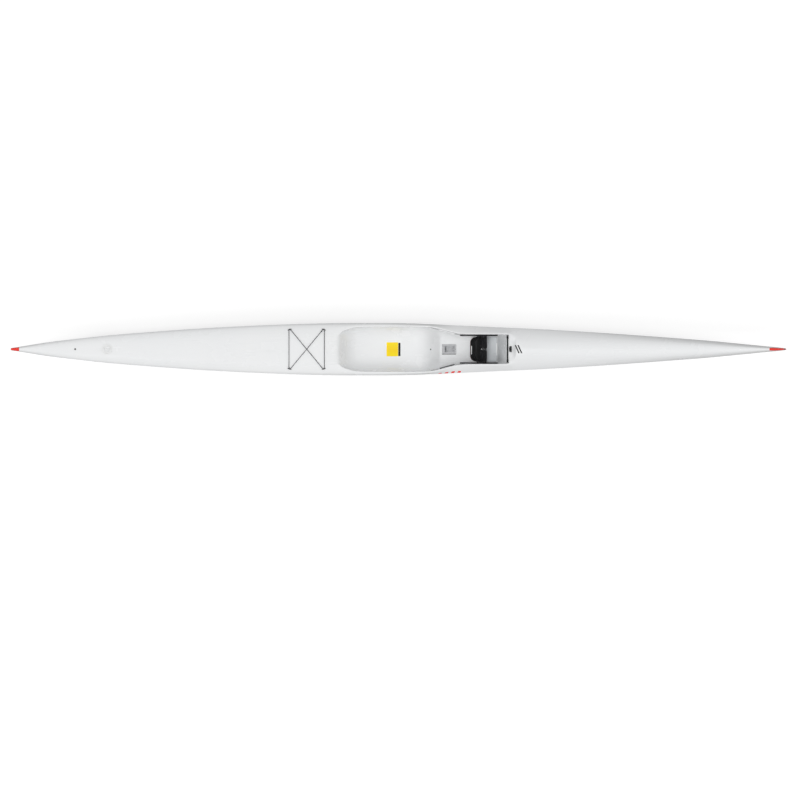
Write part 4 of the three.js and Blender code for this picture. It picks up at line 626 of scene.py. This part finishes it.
def turned(name, profile, middle, axis="Z", sides=64):
    """Turns a closed profile of radii and heights, in millimetres, round an axis."""
    start = max(range(len(profile)), key=lambda i: profile[i][0])
    steps = profile[start:] + profile[:start + 1]
    radius, height = steps[0]
    bpy.ops.mesh.primitive_circle_add(vertices=sides, radius=radius * MM, location=(0, 0, height * MM))
    piece = named(name)
    edit(piece)
    for (radius, height), (to_radius, to_height) in zip(steps, steps[1:]):
        bpy.ops.mesh.extrude_edges_move()
        scale = max(to_radius, POLE) / max(radius, POLE)
        bpy.ops.transform.resize(value=(scale, scale, 1), center_override=(0, 0, height * MM))
        bpy.ops.transform.translate(value=(0, 0, (to_height - height) * MM))
    bpy.ops.mesh.select_all(action="SELECT")
    bpy.ops.mesh.remove_doubles(threshold=WELD)
    bpy.ops.mesh.normals_make_consistent(inside=False)
    done()
    piece.rotation_euler = {"X": (0, math.pi / 2, 0), "Y": (-math.pi / 2, 0, 0), "Z": (0, 0, 0)}[axis]
    piece.location = middle
    return smooth(named(name))


def rod(name, node, axis, chamfers, sides=64):
    """A round rod with chamfered ends, the size of the straight node that it stands for."""
    low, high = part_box(node)
    way = "XYZ".index(axis)
    radius, reach = (high.x - low.x) / 2 / MM, (high[way] - low[way]) / 2 / MM
    near, far = chamfers
    profile = [(0, -reach), (radius - near, -reach), (radius, near - reach), (radius, reach - far),
               (radius - far, reach), (0, reach)]
    return turned(name, profile, (low + high) / 2, axis, sides)


def tube(name, points, radius, closed=False, sides=5, steps=5):
    """A round cord or wire through the points, with a map that runs along it and round it."""
    line = bpy.data.curves.new(name, "CURVE")
    line.dimensions = "3D"
    spline = line.splines.new("BEZIER")
    spline.bezier_points.add(len(points) - 1)
    for knot, point in zip(spline.bezier_points, points):
        knot.co = point
        knot.handle_left_type = knot.handle_right_type = "AUTO"
    spline.use_cyclic_u = closed
    spline.resolution_u = steps
    line.bevel_depth = radius
    line.bevel_resolution = sides
    line.use_fill_caps = not closed
    alone(linked(name, line))
    bpy.ops.object.convert(target="MESH")
    piece = bpy.context.view_layer.objects.active
    edit(piece)
    bpy.ops.mesh.remove_doubles(threshold=WELD)
    done()
    return smooth(piece, 60)


def block(name, middle, size, width):
    """A bar or plate with soft edges."""
    bpy.ops.mesh.primitive_cube_add(size=1, location=middle)
    bpy.context.view_layer.objects.active.scale = size
    return smooth(rounded(named(name), width, segments=3))


def repeated(name, template, places):
    """Copies of one modelled shape at many places, as one piece."""
    copies = []
    for place in places:
        copies.append(linked(name, template.data.copy()))
        copies[-1].data.transform(place)
    bpy.data.objects.remove(template)
    return joined(name, *copies)


def sliced(piece, name, aft, fore):
    """A copy of a piece between two places along the ski."""
    part = linked(name, piece.data.copy())
    edit(part)
    for place, way in ((aft, -1), (fore, 1)):
        bpy.ops.mesh.select_all(action="SELECT")
        bpy.ops.mesh.bisect(plane_co=(place, 0, 0), plane_no=(way, 0, 0), clear_outer=True, use_fill=True)
    done()
    return smooth(part, 60)


def facing(point, ahead, up):
    """Where a shape modelled at the origin goes: its own X ahead and its own Z up."""
    up = Vector(up).normalized()
    side = up.cross(Vector(ahead)).normalized()
    turn = Matrix((side.cross(up), side, up)).transposed()
    return Matrix.Translation(point) @ turn.to_4x4()


def on_deck(x, y):
    """The deck's height and the way it faces at a place."""
    deck = bpy.data.objects["deck_moulding"]
    hit, spot, normal, _ = deck.ray_cast(Vector((x, y, 1)), Vector((0, 0, -1)))
    if not hit:
        raise RuntimeError(f"there is no deck at {x}, {y}")
    return spot, normal


def eye_seats():
    """Each pad eye's name, its place, the way the deck faces there, and the way the eye points."""
    for name, spot, heading in EYES:
        yield name, *on_deck(*spot), Vector((heading * EYE_LEAN[0], EYE_LEAN[1], 0))


def on_plate(along, across, up):
    return HEEL + PLATE_ALONG * along * MM + ACROSS * across * MM + PLATE_UP * up * MM


def plate_turned(along, across, up):
    """Where a shape modelled at the origin goes to lie on the footplate."""
    turn = Matrix((PLATE_ALONG, ACROSS, PLATE_UP)).transposed()
    return Matrix.Translation(on_plate(along, across, up)) @ turn.to_4x4()


def sheer():
    """Where hull and deck meet outside, from the stern forward on the port side."""
    hull, deck = (frame["nodes"][node].data.vertices for node in ("hull_shell", "deck_shell"))
    tree = KDTree(len(deck))
    for corner in deck:
        tree.insert(corner.co, corner.index)
    tree.balance()
    outer = {}
    for corner in hull:
        near, _, gap = tree.find(corner.co)
        station = round(corner.co.x / MM, 1)
        if corner.co.y > outer.get(station, Vector()).y and gap < SEAM_GAP:
            outer[station] = (corner.co + near) / 2
    return [outer[station] for station in sorted(outer)]


# Pieces


class SURFSKI_OT_skins(bpy.types.Operator):
    """Hull and deck mouldings, and the bead that closes the seam between them"""
    bl_idname = "surfski.skins"
    bl_label = "Hull and deck"

    # Both ends of the cockpit, how far out and how low its rim reaches, and where the seat's back ends
    cockpit, rim_out, rim_low, seat_back = (-0.56, 0.84), 0.205, 0.212, -0.3

    def execute(self, context):
        sizes = context.scene.ski_sizes
        moulding("hull_shell", "hull_moulding", "hull", "white_gelcoat", sizes.smoothing)
        moulding("deck_shell", "deck_moulding", "deck", "white_gelcoat", sizes.smoothing, soften=self.rim)
        for name, side in SIDES:
            points = [(x, side * y, z) for x, y, z in sheer()]
            bead = tube(name + "_seam_bead", points, sizes.seam, sides=2, steps=3)
            fitted(bead, "seam", "ski", slot="white_gelcoat")
        return {"FINISHED"}

    def rim(self, place):
        """The cockpit's rim is rolled over: widely behind the seat, and tighter beside it."""
        aft, fore = self.cockpit
        if not aft < place.x < fore or abs(place.y) > self.rim_out or place.z < self.rim_low:
            return 1
        return 0 if place.x < self.seat_back else 0.55


class SURFSKI_OT_tips(bpy.types.Operator):
    """Moulded red tips at the bow and the stern"""
    bl_idname = "surfski.tips"
    bl_label = "Tips"

    def execute(self, context):
        levels = context.scene.ski_sizes.smoothing
        for node in ("stern_tip", "bow_tip"):
            moulding(node, node + "_moulding", "red_gelcoat", "red_gelcoat", levels)
        return {"FINISHED"}


class SURFSKI_OT_rudder(bpy.types.Operator):
    """Rudder blade, stock, tiller and the tube that carries them"""
    bl_idname = "surfski.rudder"
    bl_label = "Rudder"

    def execute(self, context):
        moulding("rudder_blade", "rudder_blade_moulding", "rudder_laminate", "rudder_laminate", 2, angle=50)
        fitted(rod("rudder_shaft", "rudder_stock", "Z", (0.6, 1)), "stainless", "rudder", "rudder_stock")
        dressed("tiller", "cast_aluminium")
        low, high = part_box("tiller_screw")
        head = 5.8
        screw = turned("tiller_bolt", [
            (0, 0), (1.9, 0), (1.9, 2), (3.2, 2), (3.8, 2.6), (3.8, 5.2), (3.3, head), (1.9, head),
            (1.7, 3.8), (0, 3.8)], (0, 0, 0), "X", 24)
        screw.data.transform(Matrix.Translation((low.x + head * MM, 0, (low.z + high.z) / 2))
                             @ Matrix.Rotation(math.pi, 4, "Z"))
        fitted(smooth(screw), "stainless", "rudder", "tiller_screw")
        for node in ("rudder_tube", "lower_rudder_bush", "upper_rudder_bush"):
            dressed(node, "light_plastic", width=0.3 * MM)
        return {"FINISHED"}


class SURFSKI_OT_hatch(bpy.types.Operator):
    """Round inspection hatch over the rudder head, with its seal"""
    bl_idname = "surfski.hatch"
    bl_label = "Hatch"

    def execute(self, context):
        low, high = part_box("hatch_ring")
        rim, ribs, rib_place = 3.2, 24, 29.6
        seat = Vector(((low.x + high.x) / 2, 0, high.z - rim * MM))
        fitted(turned("hatch_collar", [
            (31.5, -14), (34, -14), (34, -4), (38.5, -4), (38.5, 0), (43.7, 0), (44, 0.3), (44, 1.9),
            (43.6, 2.7), (42.6, rim), (36.6, rim), (36, 2.8), (36, -1.5), (31.5, -1.5)], seat, sides=96),
            "light_plastic", "ski", "hatch_ring")
        cover = turned("hatch_lid_disc", [
            (0, -9), (30.8, -9), (31.2, -8.6), (31.2, 0.6), (35.7, 0.6), (35.7, 2.5), (35.2, 3.1),
            (34.6, rim), (24.4, rim), (23.4, 2.8), (22.8, 2), (22, -3), (21, -3.8),
            (0, -3.8)], seat, sides=96)
        grip = block("lid_grip", seat + UP * -0.7 * MM, (45 * MM, 7 * MM, 6 * MM), 1.6 * MM)
        rib = block("lid_rib", (0, 0, 0), (7.5 * MM, 1.5 * MM, 1.2 * MM), 0.4 * MM)
        ribs = repeated("lid_ribs", rib, [
            Matrix.Translation(seat) @ Matrix.Rotation(2 * math.pi * i / ribs, 4, "Z")
            @ Matrix.Translation((rib_place * MM, 0, (rim + 0.1) * MM)) for i in range(ribs)])
        cover = smooth(joined("hatch_lid_moulding", cover, grip, ribs))
        fitted(cover, "light_plastic", "hatch_lid", "hatch_cover")
        low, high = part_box("hatch_seal")
        bpy.ops.mesh.primitive_torus_add(
            major_radius=0.034, minor_radius=0.0009, major_segments=96, minor_segments=12,
            location=(seat.x, 0, (low.z + high.z) / 2))
        fitted(smooth(named("hatch_gasket"), 60), "rubber", "ski", "hatch_seal")
        return {"FINISHED"}


class SURFSKI_OT_drain(bpy.types.Operator):
    """Drain socket in the aft deck, and its stopper"""
    bl_idname = "surfski.drain"
    bl_label = "Drain"

    def execute(self, context):
        low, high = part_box("drain_socket")
        rim = 1.6
        seat = Vector(((low.x + high.x) / 2, 0, high.z - rim * MM))
        fitted(turned("drain_collar", [
            (5.3, -14), (7, -14), (7, 0), (8.8, 0), (9, 0.3), (9, 1), (8.4, 1.5), (7.8, rim), (5.6, rim),
            (5.3, 1.3)], seat, sides=48), "light_plastic", "ski", "drain_socket")
        fitted(turned("drain_stopper_plug", [
            (0, -14), (4.5, -14), (5, -13.5), (5, 1.9), (6.6, 1.9), (6.8, 2.2), (6.8, 3), (6.3, 3.9),
            (5, 4.5), (3.4, 4.5), (3, 3.4), (0, 3.2)], seat, sides=48),
            "rubber", "drain_stopper", "drain_plug")
        return {"FINISHED"}


class SURFSKI_OT_bungee(bpy.types.Operator):
    """Elastic cord in a bow tie over the aft deck, its knot and the four eyes that hold it"""
    bl_idname = "surfski.bungee"
    bl_label = "Deck bungee"

    def execute(self, context):
        sizes = context.scene.ski_sizes
        cord = tube("bungee_cord", BUNGEE_ROUTE, sizes.bungee, closed=True, steps=4)
        middle = Vector(BUNGEE_ROUTE[24]).lerp(Vector(BUNGEE_ROUTE[25]), 0.2)
        steps, lobe = 24, 1.7 * MM
        turns = [2 * math.pi * i / steps for i in range(steps)]
        loops = [middle + lobe * Vector((math.sin(t) + 2 * math.sin(2 * t), math.cos(t) - 2 * math.cos(2 * t),
                                         -1.3 * math.sin(3 * t))) for t in turns]
        knot = tube("bungee_knot", loops, 2 * MM, closed=True, sides=3, steps=3)
        cord = smooth(joined("bungee_cord", cord, knot), 60)
        fitted(cord, "elastic_cord", "ski", "deck_bungee")

        span, thick, stretch, base_top, foot = 8.85 * MM, 1.65 * MM, 1.7, 2.4 * MM, 1 * MM
        bpy.ops.mesh.primitive_torus_add(major_radius=span, minor_radius=thick, major_segments=40,
                                         minor_segments=12, rotation=(math.pi / 2, 0, 0))
        arch = named("eye_arch")
        edit(arch)
        bpy.ops.mesh.bisect(plane_co=(0, 0, -foot), plane_no=(0, 0, 1), clear_inner=True, use_fill=True)
        bpy.ops.mesh.select_all(action="SELECT")
        bpy.ops.transform.resize(value=(1, stretch, 1), center_override=(0, 0, 0))
        bpy.ops.transform.translate(value=(0, 0, base_top + 0.1 * MM))
        done()
        base = block("eye_base", (0, 0, base_top / 2), (34 * MM, 7 * MM, base_top), 0.9 * MM)
        eye = joined("eye", arch, base)
        for name, spot, normal, ahead in eye_seats():
            piece = linked(name + "_eye", eye.data.copy())
            piece.data.transform(facing(spot + normal * 0.5 * MM, ahead, normal))
            fitted(smooth(piece), "black_plastic", "ski", name + "_pad_eye")
        bpy.data.objects.remove(eye)
        return {"FINISHED"}


class SURFSKI_OT_bailer(bpy.types.Operator):
    """Self bailer in the footwell floor: frame, chute, pin and lever"""
    bl_idname = "surfski.bailer"
    bl_label = "Bailer"

    def execute(self, context):
        dressed("bailer_frame", "stainless", width=0.6 * MM)
        dressed("bailer_chute", "stainless", width=0.4 * MM)
        fitted(rod("bailer_axle", "bailer_pin", "Y", (0.3, 0.3), 24), "stainless", "ski", "bailer_pin")
        low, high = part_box("bailer_lever")
        thick = 1.6 * MM
        axis, height = low.x + thick, (low.z + high.z) / 2
        half = [(0, 27), (0, 22), (0.4, 19.5), (2, 17.4), (5, 16.6), (30, 14.4), (56, 12.2), (60, 11.2),
                (62, 8.5), (62.3, 6)]
        wire = [(axis + x * MM, y * MM, height) for x, y in half + [(x, -y) for x, y in reversed(half)]]
        handle = tube("bailer_handle_wire", wire, thick, sides=4, steps=4)
        fitted(handle, "stainless", "bailer_handle", "bailer_lever")
        return {"FINISHED"}


class SURFSKI_OT_rails(bpy.types.Operator):
    """Footrest rails on both walls of the footwell"""
    bl_idname = "surfski.rails"
    bl_label = "Footrest rails"

    def execute(self, context):
        for side, _ in SIDES:
            dressed(side + "_rail", "black_plastic", width=0.5 * MM)
        return {"FINISHED"}


class SURFSKI_OT_footrest(bpy.types.Operator):
    """Footplate with its grip ribs, toe pedals, sliders and sprung latches"""
    bl_idname = "surfski.footrest"
    bl_label = "Footrest"

    # Each grip rib's place along the plate and half its width, and the middles of the spine and its screw
    ribs = ((50, 62), (62, 78), (74, 84), (86, 86), (98, 86))
    spine_at, screw_at = 167, 172

    def execute(self, context):
        dressed("footplate", "black_plastic")
        rib = block("plate_rib", (0, 0, 0), (2.6 * MM, 1, 1.6 * MM), 0.6 * MM)
        places = [plate_turned(along, 0, 0.3) @ Matrix.Diagonal((1, 2 * half * MM, 1, 1))
                  for along, half in self.ribs]
        fitted(smooth(repeated("plate_grip_ribs", rib, places)), "rubber", "footrest", slot="black_plastic")
        hinge = rod("pedal_hinge_rod", "pedal_rod", "Y", (0.5, 0.5), 32)
        fitted(hinge, "dark_steel", "footrest", "pedal_rod", slot="stainless")
        deep = 5
        spine = block("pedal_spine", (0, 0, 0), (68 * MM, 8.2 * MM, deep * MM), 1.2 * MM)
        spine.data.transform(plate_turned(self.spine_at, 0, -deep / 2))
        fitted(smooth(spine), "black_plastic", "footrest")
        low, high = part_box("pedal_rod")
        button = turned("hinge_button", [(0, 0), (4, 0), (4, 1.6), (3.5, 2.6), (2, 3.2), (0, 3.3)],
                        ((low.x + high.x) / 2, 0, high.z + 2.7 * MM), sides=32)
        fitted(button, "light_plastic", "footrest")
        stop = turned("spine_screw", [(0, 0), (2.6, 0), (2.6, 0.8), (2, 1.5), (0, 1.6)], (0, 0, 0), sides=24)
        stop.data.transform(plate_turned(self.screw_at, 0, -0.1))
        fitted(smooth(stop), "stainless", "footrest")
        for side, _ in SIDES:
            dressed(side + "_pedal", "black_plastic")
            dressed(side + "_slider", "black_plastic", width=0.5 * MM)
            dressed(side + "_pawl", "stainless", width=0.4 * MM)
        return {"FINISHED"}


class SURFSKI_OT_strap(bpy.types.Operator):
    """Foot strap that arches over both feet, bound at its edges and stitched"""
    bl_idname = "surfski.strap"
    bl_label = "Foot strap"

    # The arch over the plate, in millimetres: half its width, its height and the bend at its corners, then
    # the band's middle and width along the plate, its crown, and the share it narrows by at its ends
    half, top, bend = 96.5, 55.5, 44.5
    middle, width = 77, 76.5
    crown, crown_reach, narrowing = 1.6, 39, 0.14
    # Each binding's place along the plate and its finish, the rows of stitches, and the stitches in a row
    bindings = (("aft", 38.6, "binding"), ("fore", 115.4, "webbing"))
    seams, count = (43.5, 48, 106, 110.5), 70
    # The pale strip's middle and size, over the arch as a share of it, and along the plate
    tab_middle, tab_size = (0.53, 64), (0.26, 12)

    def spot(self, share, along, lift=0.0):
        """A place on the strap: how far over the arch, how far along the plate, and how far off it."""
        straight, arc, flat = self.top - self.bend, self.bend * math.pi / 2, self.half - self.bend
        way = min(share, 1 - share) * 2 * (straight + arc + flat)
        side = 1 if share < 0.5 else -1
        if way < straight:
            across, up, facing_across, facing_up = self.half, way, 1, 0
        elif way < straight + arc:
            turn = (way - straight) / self.bend
            facing_across, facing_up = math.cos(turn), math.sin(turn)
            across, up = flat + self.bend * facing_across, straight + self.bend * facing_up
        else:
            across, up, facing_across, facing_up = flat - (way - straight - arc), self.top, 0, 1
        off = along - self.middle
        lift += self.crown * (1 - (off / self.crown_reach) ** 2)
        narrow = 1 - self.narrowing * max(1 - way / straight, 0)
        return on_plate(self.middle + off * narrow, side * (across + lift * facing_across),
                        max(up, 0.3) + lift * facing_up)

    def band(self, name, rows, columns, thickness, place):
        """A strip of webbing whose grid points go where place says, both ways from -0.5 to 0.5."""
        bpy.ops.mesh.primitive_grid_add(x_subdivisions=rows, y_subdivisions=columns, size=1)
        piece = named(name)
        for vertex in piece.data.vertices:
            vertex.co = place(vertex.co.x, vertex.co.y)
        edit(piece)
        bpy.ops.mesh.normals_make_consistent(inside=False)
        done()
        return modified(piece, "SOLIDIFY", thickness=thickness, offset=0)

    def execute(self, context):
        sizes = context.scene.ski_sizes
        rise = sizes.strap / 2 / MM
        band = self.band("foot_strap_band", 12, 96, sizes.strap, lambda along, over: self.spot(
            over + 0.5, self.middle + self.width * along))
        rounded(band, sizes.strap * 0.3, 60)
        fitted(smooth(band, 50), "webbing", "footrest", "foot_strap")

        for name, along, finish in self.bindings:
            points = [self.spot(0.006 + 0.988 * i / 60, along) for i in range(61)]
            piece = tube(name + "_strap_binding", points, 2.1 * MM, sides=3, steps=2)
            fitted(piece, finish, "footrest", slot="webbing")
        bpy.ops.mesh.primitive_uv_sphere_add(segments=8, ring_count=6, radius=0.5)
        stitch = bpy.context.view_layer.objects.active
        stitch.scale = (sizes.stitch, 0.8 * MM, 0.6 * MM)
        named("stitch")
        places = []
        for along in self.seams:
            for i in range(self.count):
                share = 0.03 + 0.94 * i / (self.count - 1)
                here, ahead = self.spot(share, along, rise), self.spot(share + 0.002, along, rise)
                places.append(facing(here, ahead - here, self.spot(share, along, rise + 1) - here))
        stitches = repeated("strap_stitching", stitch, places)
        fitted(smooth(stitches, 60), "thread", "footrest", slot="webbing")
        tab = self.band("strap_pale_band", 2, 24, 1.1 * MM, lambda along, over: self.spot(
            self.tab_middle[0] + self.tab_size[0] * over, self.tab_middle[1] + self.tab_size[1] * along,
            rise + 0.7))
        rounded(tab, 0.4 * MM, 60)
        fitted(smooth(tab, 50), "light_plastic", "footrest", slot="webbing")
        return {"FINISHED"}


class SURFSKI_OT_lines(bpy.types.Operator):
    """Rudder lines from the toe pedals to the tiller, with their guide tubes and sleeves"""
    bl_idname = "surfski.lines"
    bl_label = "Rudder lines"

    # Between the two held places a line lies in its tube and sleeve, and from pedal_end on it runs to a
    # pedal.
    # Each loose part also has two places of its own.
    held, pedal_end = (-2.315, 0.462), 0.6635
    tiller_bend, slide_bend, pedal_bend = (-2.405, -2.318), (0.463, 0.66), (0.665, 0.708)
    knot, spans = 3.1 * MM, 10

    def execute(self, context):
        sizes = context.scene.ski_sizes
        sleeve_end, pedal = Vector(PEDAL_ROUTE[0]), Vector(PEDAL_ROUTE[1])
        free = [sleeve_end.lerp(pedal, i / self.spans) for i in range(self.spans)]
        for name, side in SIDES:
            route = [(x, side * y, z) for x, y, z in
                     LINE_START + GUIDE_ROUTE + SLEEVE_ROUTE + free + PEDAL_ROUTE[1:]]
            line = [tube(name + "_steering_line", route, sizes.line, sides=3, steps=4)]
            for end in (-1, 0):
                bpy.ops.mesh.primitive_uv_sphere_add(segments=16, ring_count=10, radius=self.knot,
                                                     location=route[end])
                line.append(named("line_knot"))
            line = joined(name + "_whole_line", *line)
            middle = sliced(line, name + "_steering_line", *self.held)
            fitted(middle, "rudder_cord", "ski", name + "_rudder_line")
            for part, span, bodies, bend in (
                    ("tiller", (-3, self.held[0]), ("rudder", "ski"), self.tiller_bend),
                    ("slide", (self.held[1], self.pedal_end), ("ski", "footrest"), self.slide_bend),
                    ("pedal", (self.pedal_end, 1), ("footrest", name + "_toe_pedal"), self.pedal_bend)):
                piece = sliced(line, f"{name}_{part}_line", *span)
                piece.data.materials.clear()
                piece.data.materials.append(FINISHES["rudder_cord"])
                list(bodies)
                [(x, 0, 0) for x in bend]
                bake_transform(piece)
            bpy.data.objects.remove(line)
            dressed(name + "_guide_tube", "light_plastic", width=0.2 * MM, shading=70)
            mouth = [(x, side * y, z) for x, y, z in
                     SLEEVE_MOUTH + GUIDE_ROUTE[-1:] + SLEEVE_ROUTE + PEDAL_ROUTE[:1]]
            sleeve = tube(name + "_wall_sleeve", mouth, sizes.sleeve, sides=6, steps=5)
            edit(sleeve)
            bpy.ops.mesh.select_all(action="DESELECT")
            bpy.ops.mesh.select_mode(type="FACE")
            bpy.ops.mesh.select_face_by_sides(number=4, type="GREATER")
            bpy.ops.mesh.delete(type="FACE")
            bpy.ops.mesh.select_mode(type="VERT")
            done()
            modified(sleeve, "SOLIDIFY", thickness=1.5 * MM, offset=-1)
            rounded(sleeve, 0.4 * MM, 60)
            finish = "light_plastic" if side > 0 else "grey_plastic"
            fitted(smooth(sleeve, 50), finish, "ski", name + "_line_sleeve", slot="black_plastic")
        return {"FINISHED"}


class SURFSKI_OT_bar(bpy.types.Operator):
    """Bar across the front of the cockpit, and the leash eye before it"""
    bl_idname = "surfski.bar"
    bl_label = "Front bar and leash eye"

    def execute(self, context):
        fitted(rod("cockpit_bar", "front_bar", "Y", (1, 1)), "black_plastic", "ski", "front_bar")
        for side, _ in SIDES:
            dressed(side + "_bar_foot", "black_plastic", width=1.6 * MM)

        base_at, base_height, lean = 0.929, 7 * MM, math.radians(-22)
        seat = Vector((base_at, 0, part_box("leash_eye")[0].z + base_height / 2))
        radius, thickness, centre, hole_radius, hole_at = 24 * MM, 5 * MM, 14 * MM, 7 * MM, 21 * MM
        plate = self.disc("leash_plate", radius, thickness, centre, 64)
        edit(plate)
        bpy.ops.mesh.bisect(plane_co=(0, 0, centre), plane_no=(0, 0, 1), clear_inner=True, use_fill=True)
        bpy.ops.mesh.extrude_region_move(TRANSFORM_OT_translate={"value": (0, 0, -0.5 * MM - centre)})
        done()
        hole = self.disc("leash_hole_cutter", hole_radius, 4 * thickness, hole_at, 40)
        modified(plate, "BOOLEAN", operation="DIFFERENCE", object=hole, solver="EXACT")
        bpy.data.objects.remove(hole)
        rounded(plate, 1.2 * MM, 30, 3)
        alone(plate)
        plate.rotation_euler = (0, lean, 0)
        plate.location = seat
        plate = named("leash_plate")
        base = block("leash_base", seat, (10 * MM, 2 * radius, base_height), 1.2 * MM)
        eye = smooth(joined("leash_eye_moulding", plate, base))
        fitted(eye, "black_plastic", "ski", "leash_eye")
        return {"FINISHED"}

    def disc(self, name, radius, thickness, height, sides):
        """A disc that stands across the ski."""
        bpy.ops.mesh.primitive_cylinder_add(vertices=sides, radius=radius, depth=thickness,
                                            rotation=(0, math.pi / 2, 0), location=(0, 0, height))
        return named(name)


class SURFSKI_OT_screws(bpy.types.Operator):
    """Socket screws that hold the eyes, rails, bailer and bar"""
    bl_idname = "surfski.screws"
    bl_label = "Screws"

    def execute(self, context):
        screw = turned("screw", [(0, 0), (2.1, 0), (2.15, 0.5), (1.9, 1), (1.4, 1.25), (1, 1.25), (0.95, 0.6),
                                 (0, 0.6)], (0, 0, 0), sides=18)
        eye_top, eye_reach, rail_height, rail_inset = 2.8 * MM, 13.6 * MM, 131 * MM, 3 * MM
        frame_inset, frame_reach = 4.5 * MM, 34.5 * MM
        places = []
        for _, spot, normal, ahead in eye_seats():
            along = normal.cross(ahead).cross(normal).normalized()
            for way in (-1, 1):
                places.append(facing(spot + normal * eye_top + along * way * eye_reach, ahead, normal))
        low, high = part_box("port_rail")
        for side in (1, -1):
            for x in (low.x + rail_inset, high.x - rail_inset):
                places.append(facing((x, side * (low.y + 0.05 * MM), rail_height), ALONG, (0, -side, 0)))
        low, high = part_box("bailer_frame")
        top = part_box("bailer_lever")[0].z - 0.5 * MM
        for x in (low.x + frame_inset, high.x - frame_inset):
            for y in (-frame_reach, frame_reach):
                places.append(facing((x, y, top), ALONG, UP))
        for name, side in SIDES:
            low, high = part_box(name + "_bar_foot")
            middle = (low + high) / 2
            places.append(facing((middle.x, middle.y + side * 9 * MM, high.z), ALONG, UP))
        fitted(smooth(repeated("deck_screws", screw, places)), "stainless", "ski")
        return {"FINISHED"}


class SURFSKI_OT_studio(bpy.types.Operator):
    """Pale floor, soft lamps and the camera above the ski"""
    bl_idname = "surfski.studio"
    bl_label = "Studio"

    stand = (0.0124, -0.4193, 8)
    floor_size, far = 80, 200

    def execute(self, context):
        scene, studio = context.scene, context.scene.ski_studio
        bpy.ops.mesh.primitive_plane_add(size=self.floor_size, location=(0, 0, studio.floor))
        floor = named("studio_floor")
        floor.data.materials.append(floor_finish())

        world = bpy.data.worlds.new("studio_sky")
        scene.world = world
        world.use_nodes = True
        sky, light = Nodes(world.node_tree), world.node_tree.nodes["Background"].inputs
        sky.feed(light["Color"], (1, 1, 1))
        sky.feed(light["Strength"], sky.remap(sky.seen(), 0, 1, studio.sky, 1))

        for name, energy, spread, source in (("key_light", studio.key, 26, (-0.3, -0.42, 1)),
                                             ("top_light", studio.top, 12, (-0.07, -0.05, 1))):
            bpy.ops.object.light_add(type="SUN")
            sun = bpy.context.view_layer.objects.active
            sun.name = name
            sun.data.energy = energy
            sun.data.angle = math.radians(spread)
            sun.rotation_euler = Vector(source).to_track_quat("Z", "Y").to_euler()
            sun.visible_glossy = False

        bpy.ops.object.camera_add(location=self.stand)
        camera = bpy.context.view_layer.objects.active
        camera.name = "camera_above"
        camera.data.type = "ORTHO"
        camera.data.ortho_scale = studio.view_width
        camera.data.clip_end = self.far
        scene.camera = camera
        scene.view_settings.view_transform = "Standard"
        return {"FINISHED"}


PIECES = (
    SURFSKI_OT_skins, SURFSKI_OT_tips, SURFSKI_OT_rudder, SURFSKI_OT_hatch, SURFSKI_OT_drain,
    SURFSKI_OT_bungee, SURFSKI_OT_bailer, SURFSKI_OT_rails, SURFSKI_OT_footrest, SURFSKI_OT_strap,
    SURFSKI_OT_lines, SURFSKI_OT_bar, SURFSKI_OT_screws, SURFSKI_OT_studio,
)
GROUPS = {"ski_paint": SkiPaint, "ski_sizes": SkiSizes, "ski_studio": SkiStudio}


class SURFSKI_PT_panel(bpy.types.Panel):
    """Lists the sizes, the colours and the pieces of the surfski"""
    bl_idname = "SURFSKI_PT_panel"
    bl_label = "Surfski"
    bl_space_type = "VIEW_3D"
    bl_region_type = "UI"
    bl_category = "Surfski"

    def draw(self, context):
        for group, kind in GROUPS.items():
            box = self.layout.box()
            for key in kind.__annotations__:
                box.prop(getattr(context.scene, group), key)
        column = self.layout.column(align=True)
        for piece in PIECES:
            column.operator(piece.bl_idname)


def register():
    for kind in (*GROUPS.values(), *PIECES, SURFSKI_PT_panel):
        bpy.utils.register_class(kind)
    for group, kind in GROUPS.items():
        setattr(bpy.types.Scene, group, bpy.props.PointerProperty(type=kind))


def unregister():
    for group in GROUPS:
        delattr(bpy.types.Scene, group)
    for kind in (SURFSKI_PT_panel, *reversed(PIECES), *reversed(list(GROUPS.values()))):
        bpy.utils.unregister_class(kind)


def main():
    """Registers the add-on and builds every piece."""
    register()
    FINISHES.update(finishes())
    for piece in PIECES:
        getattr(bpy.ops.surfski, piece.bl_idname.split(".")[1])()


FINISHES = {}

if __name__ == "__main__":
    main()
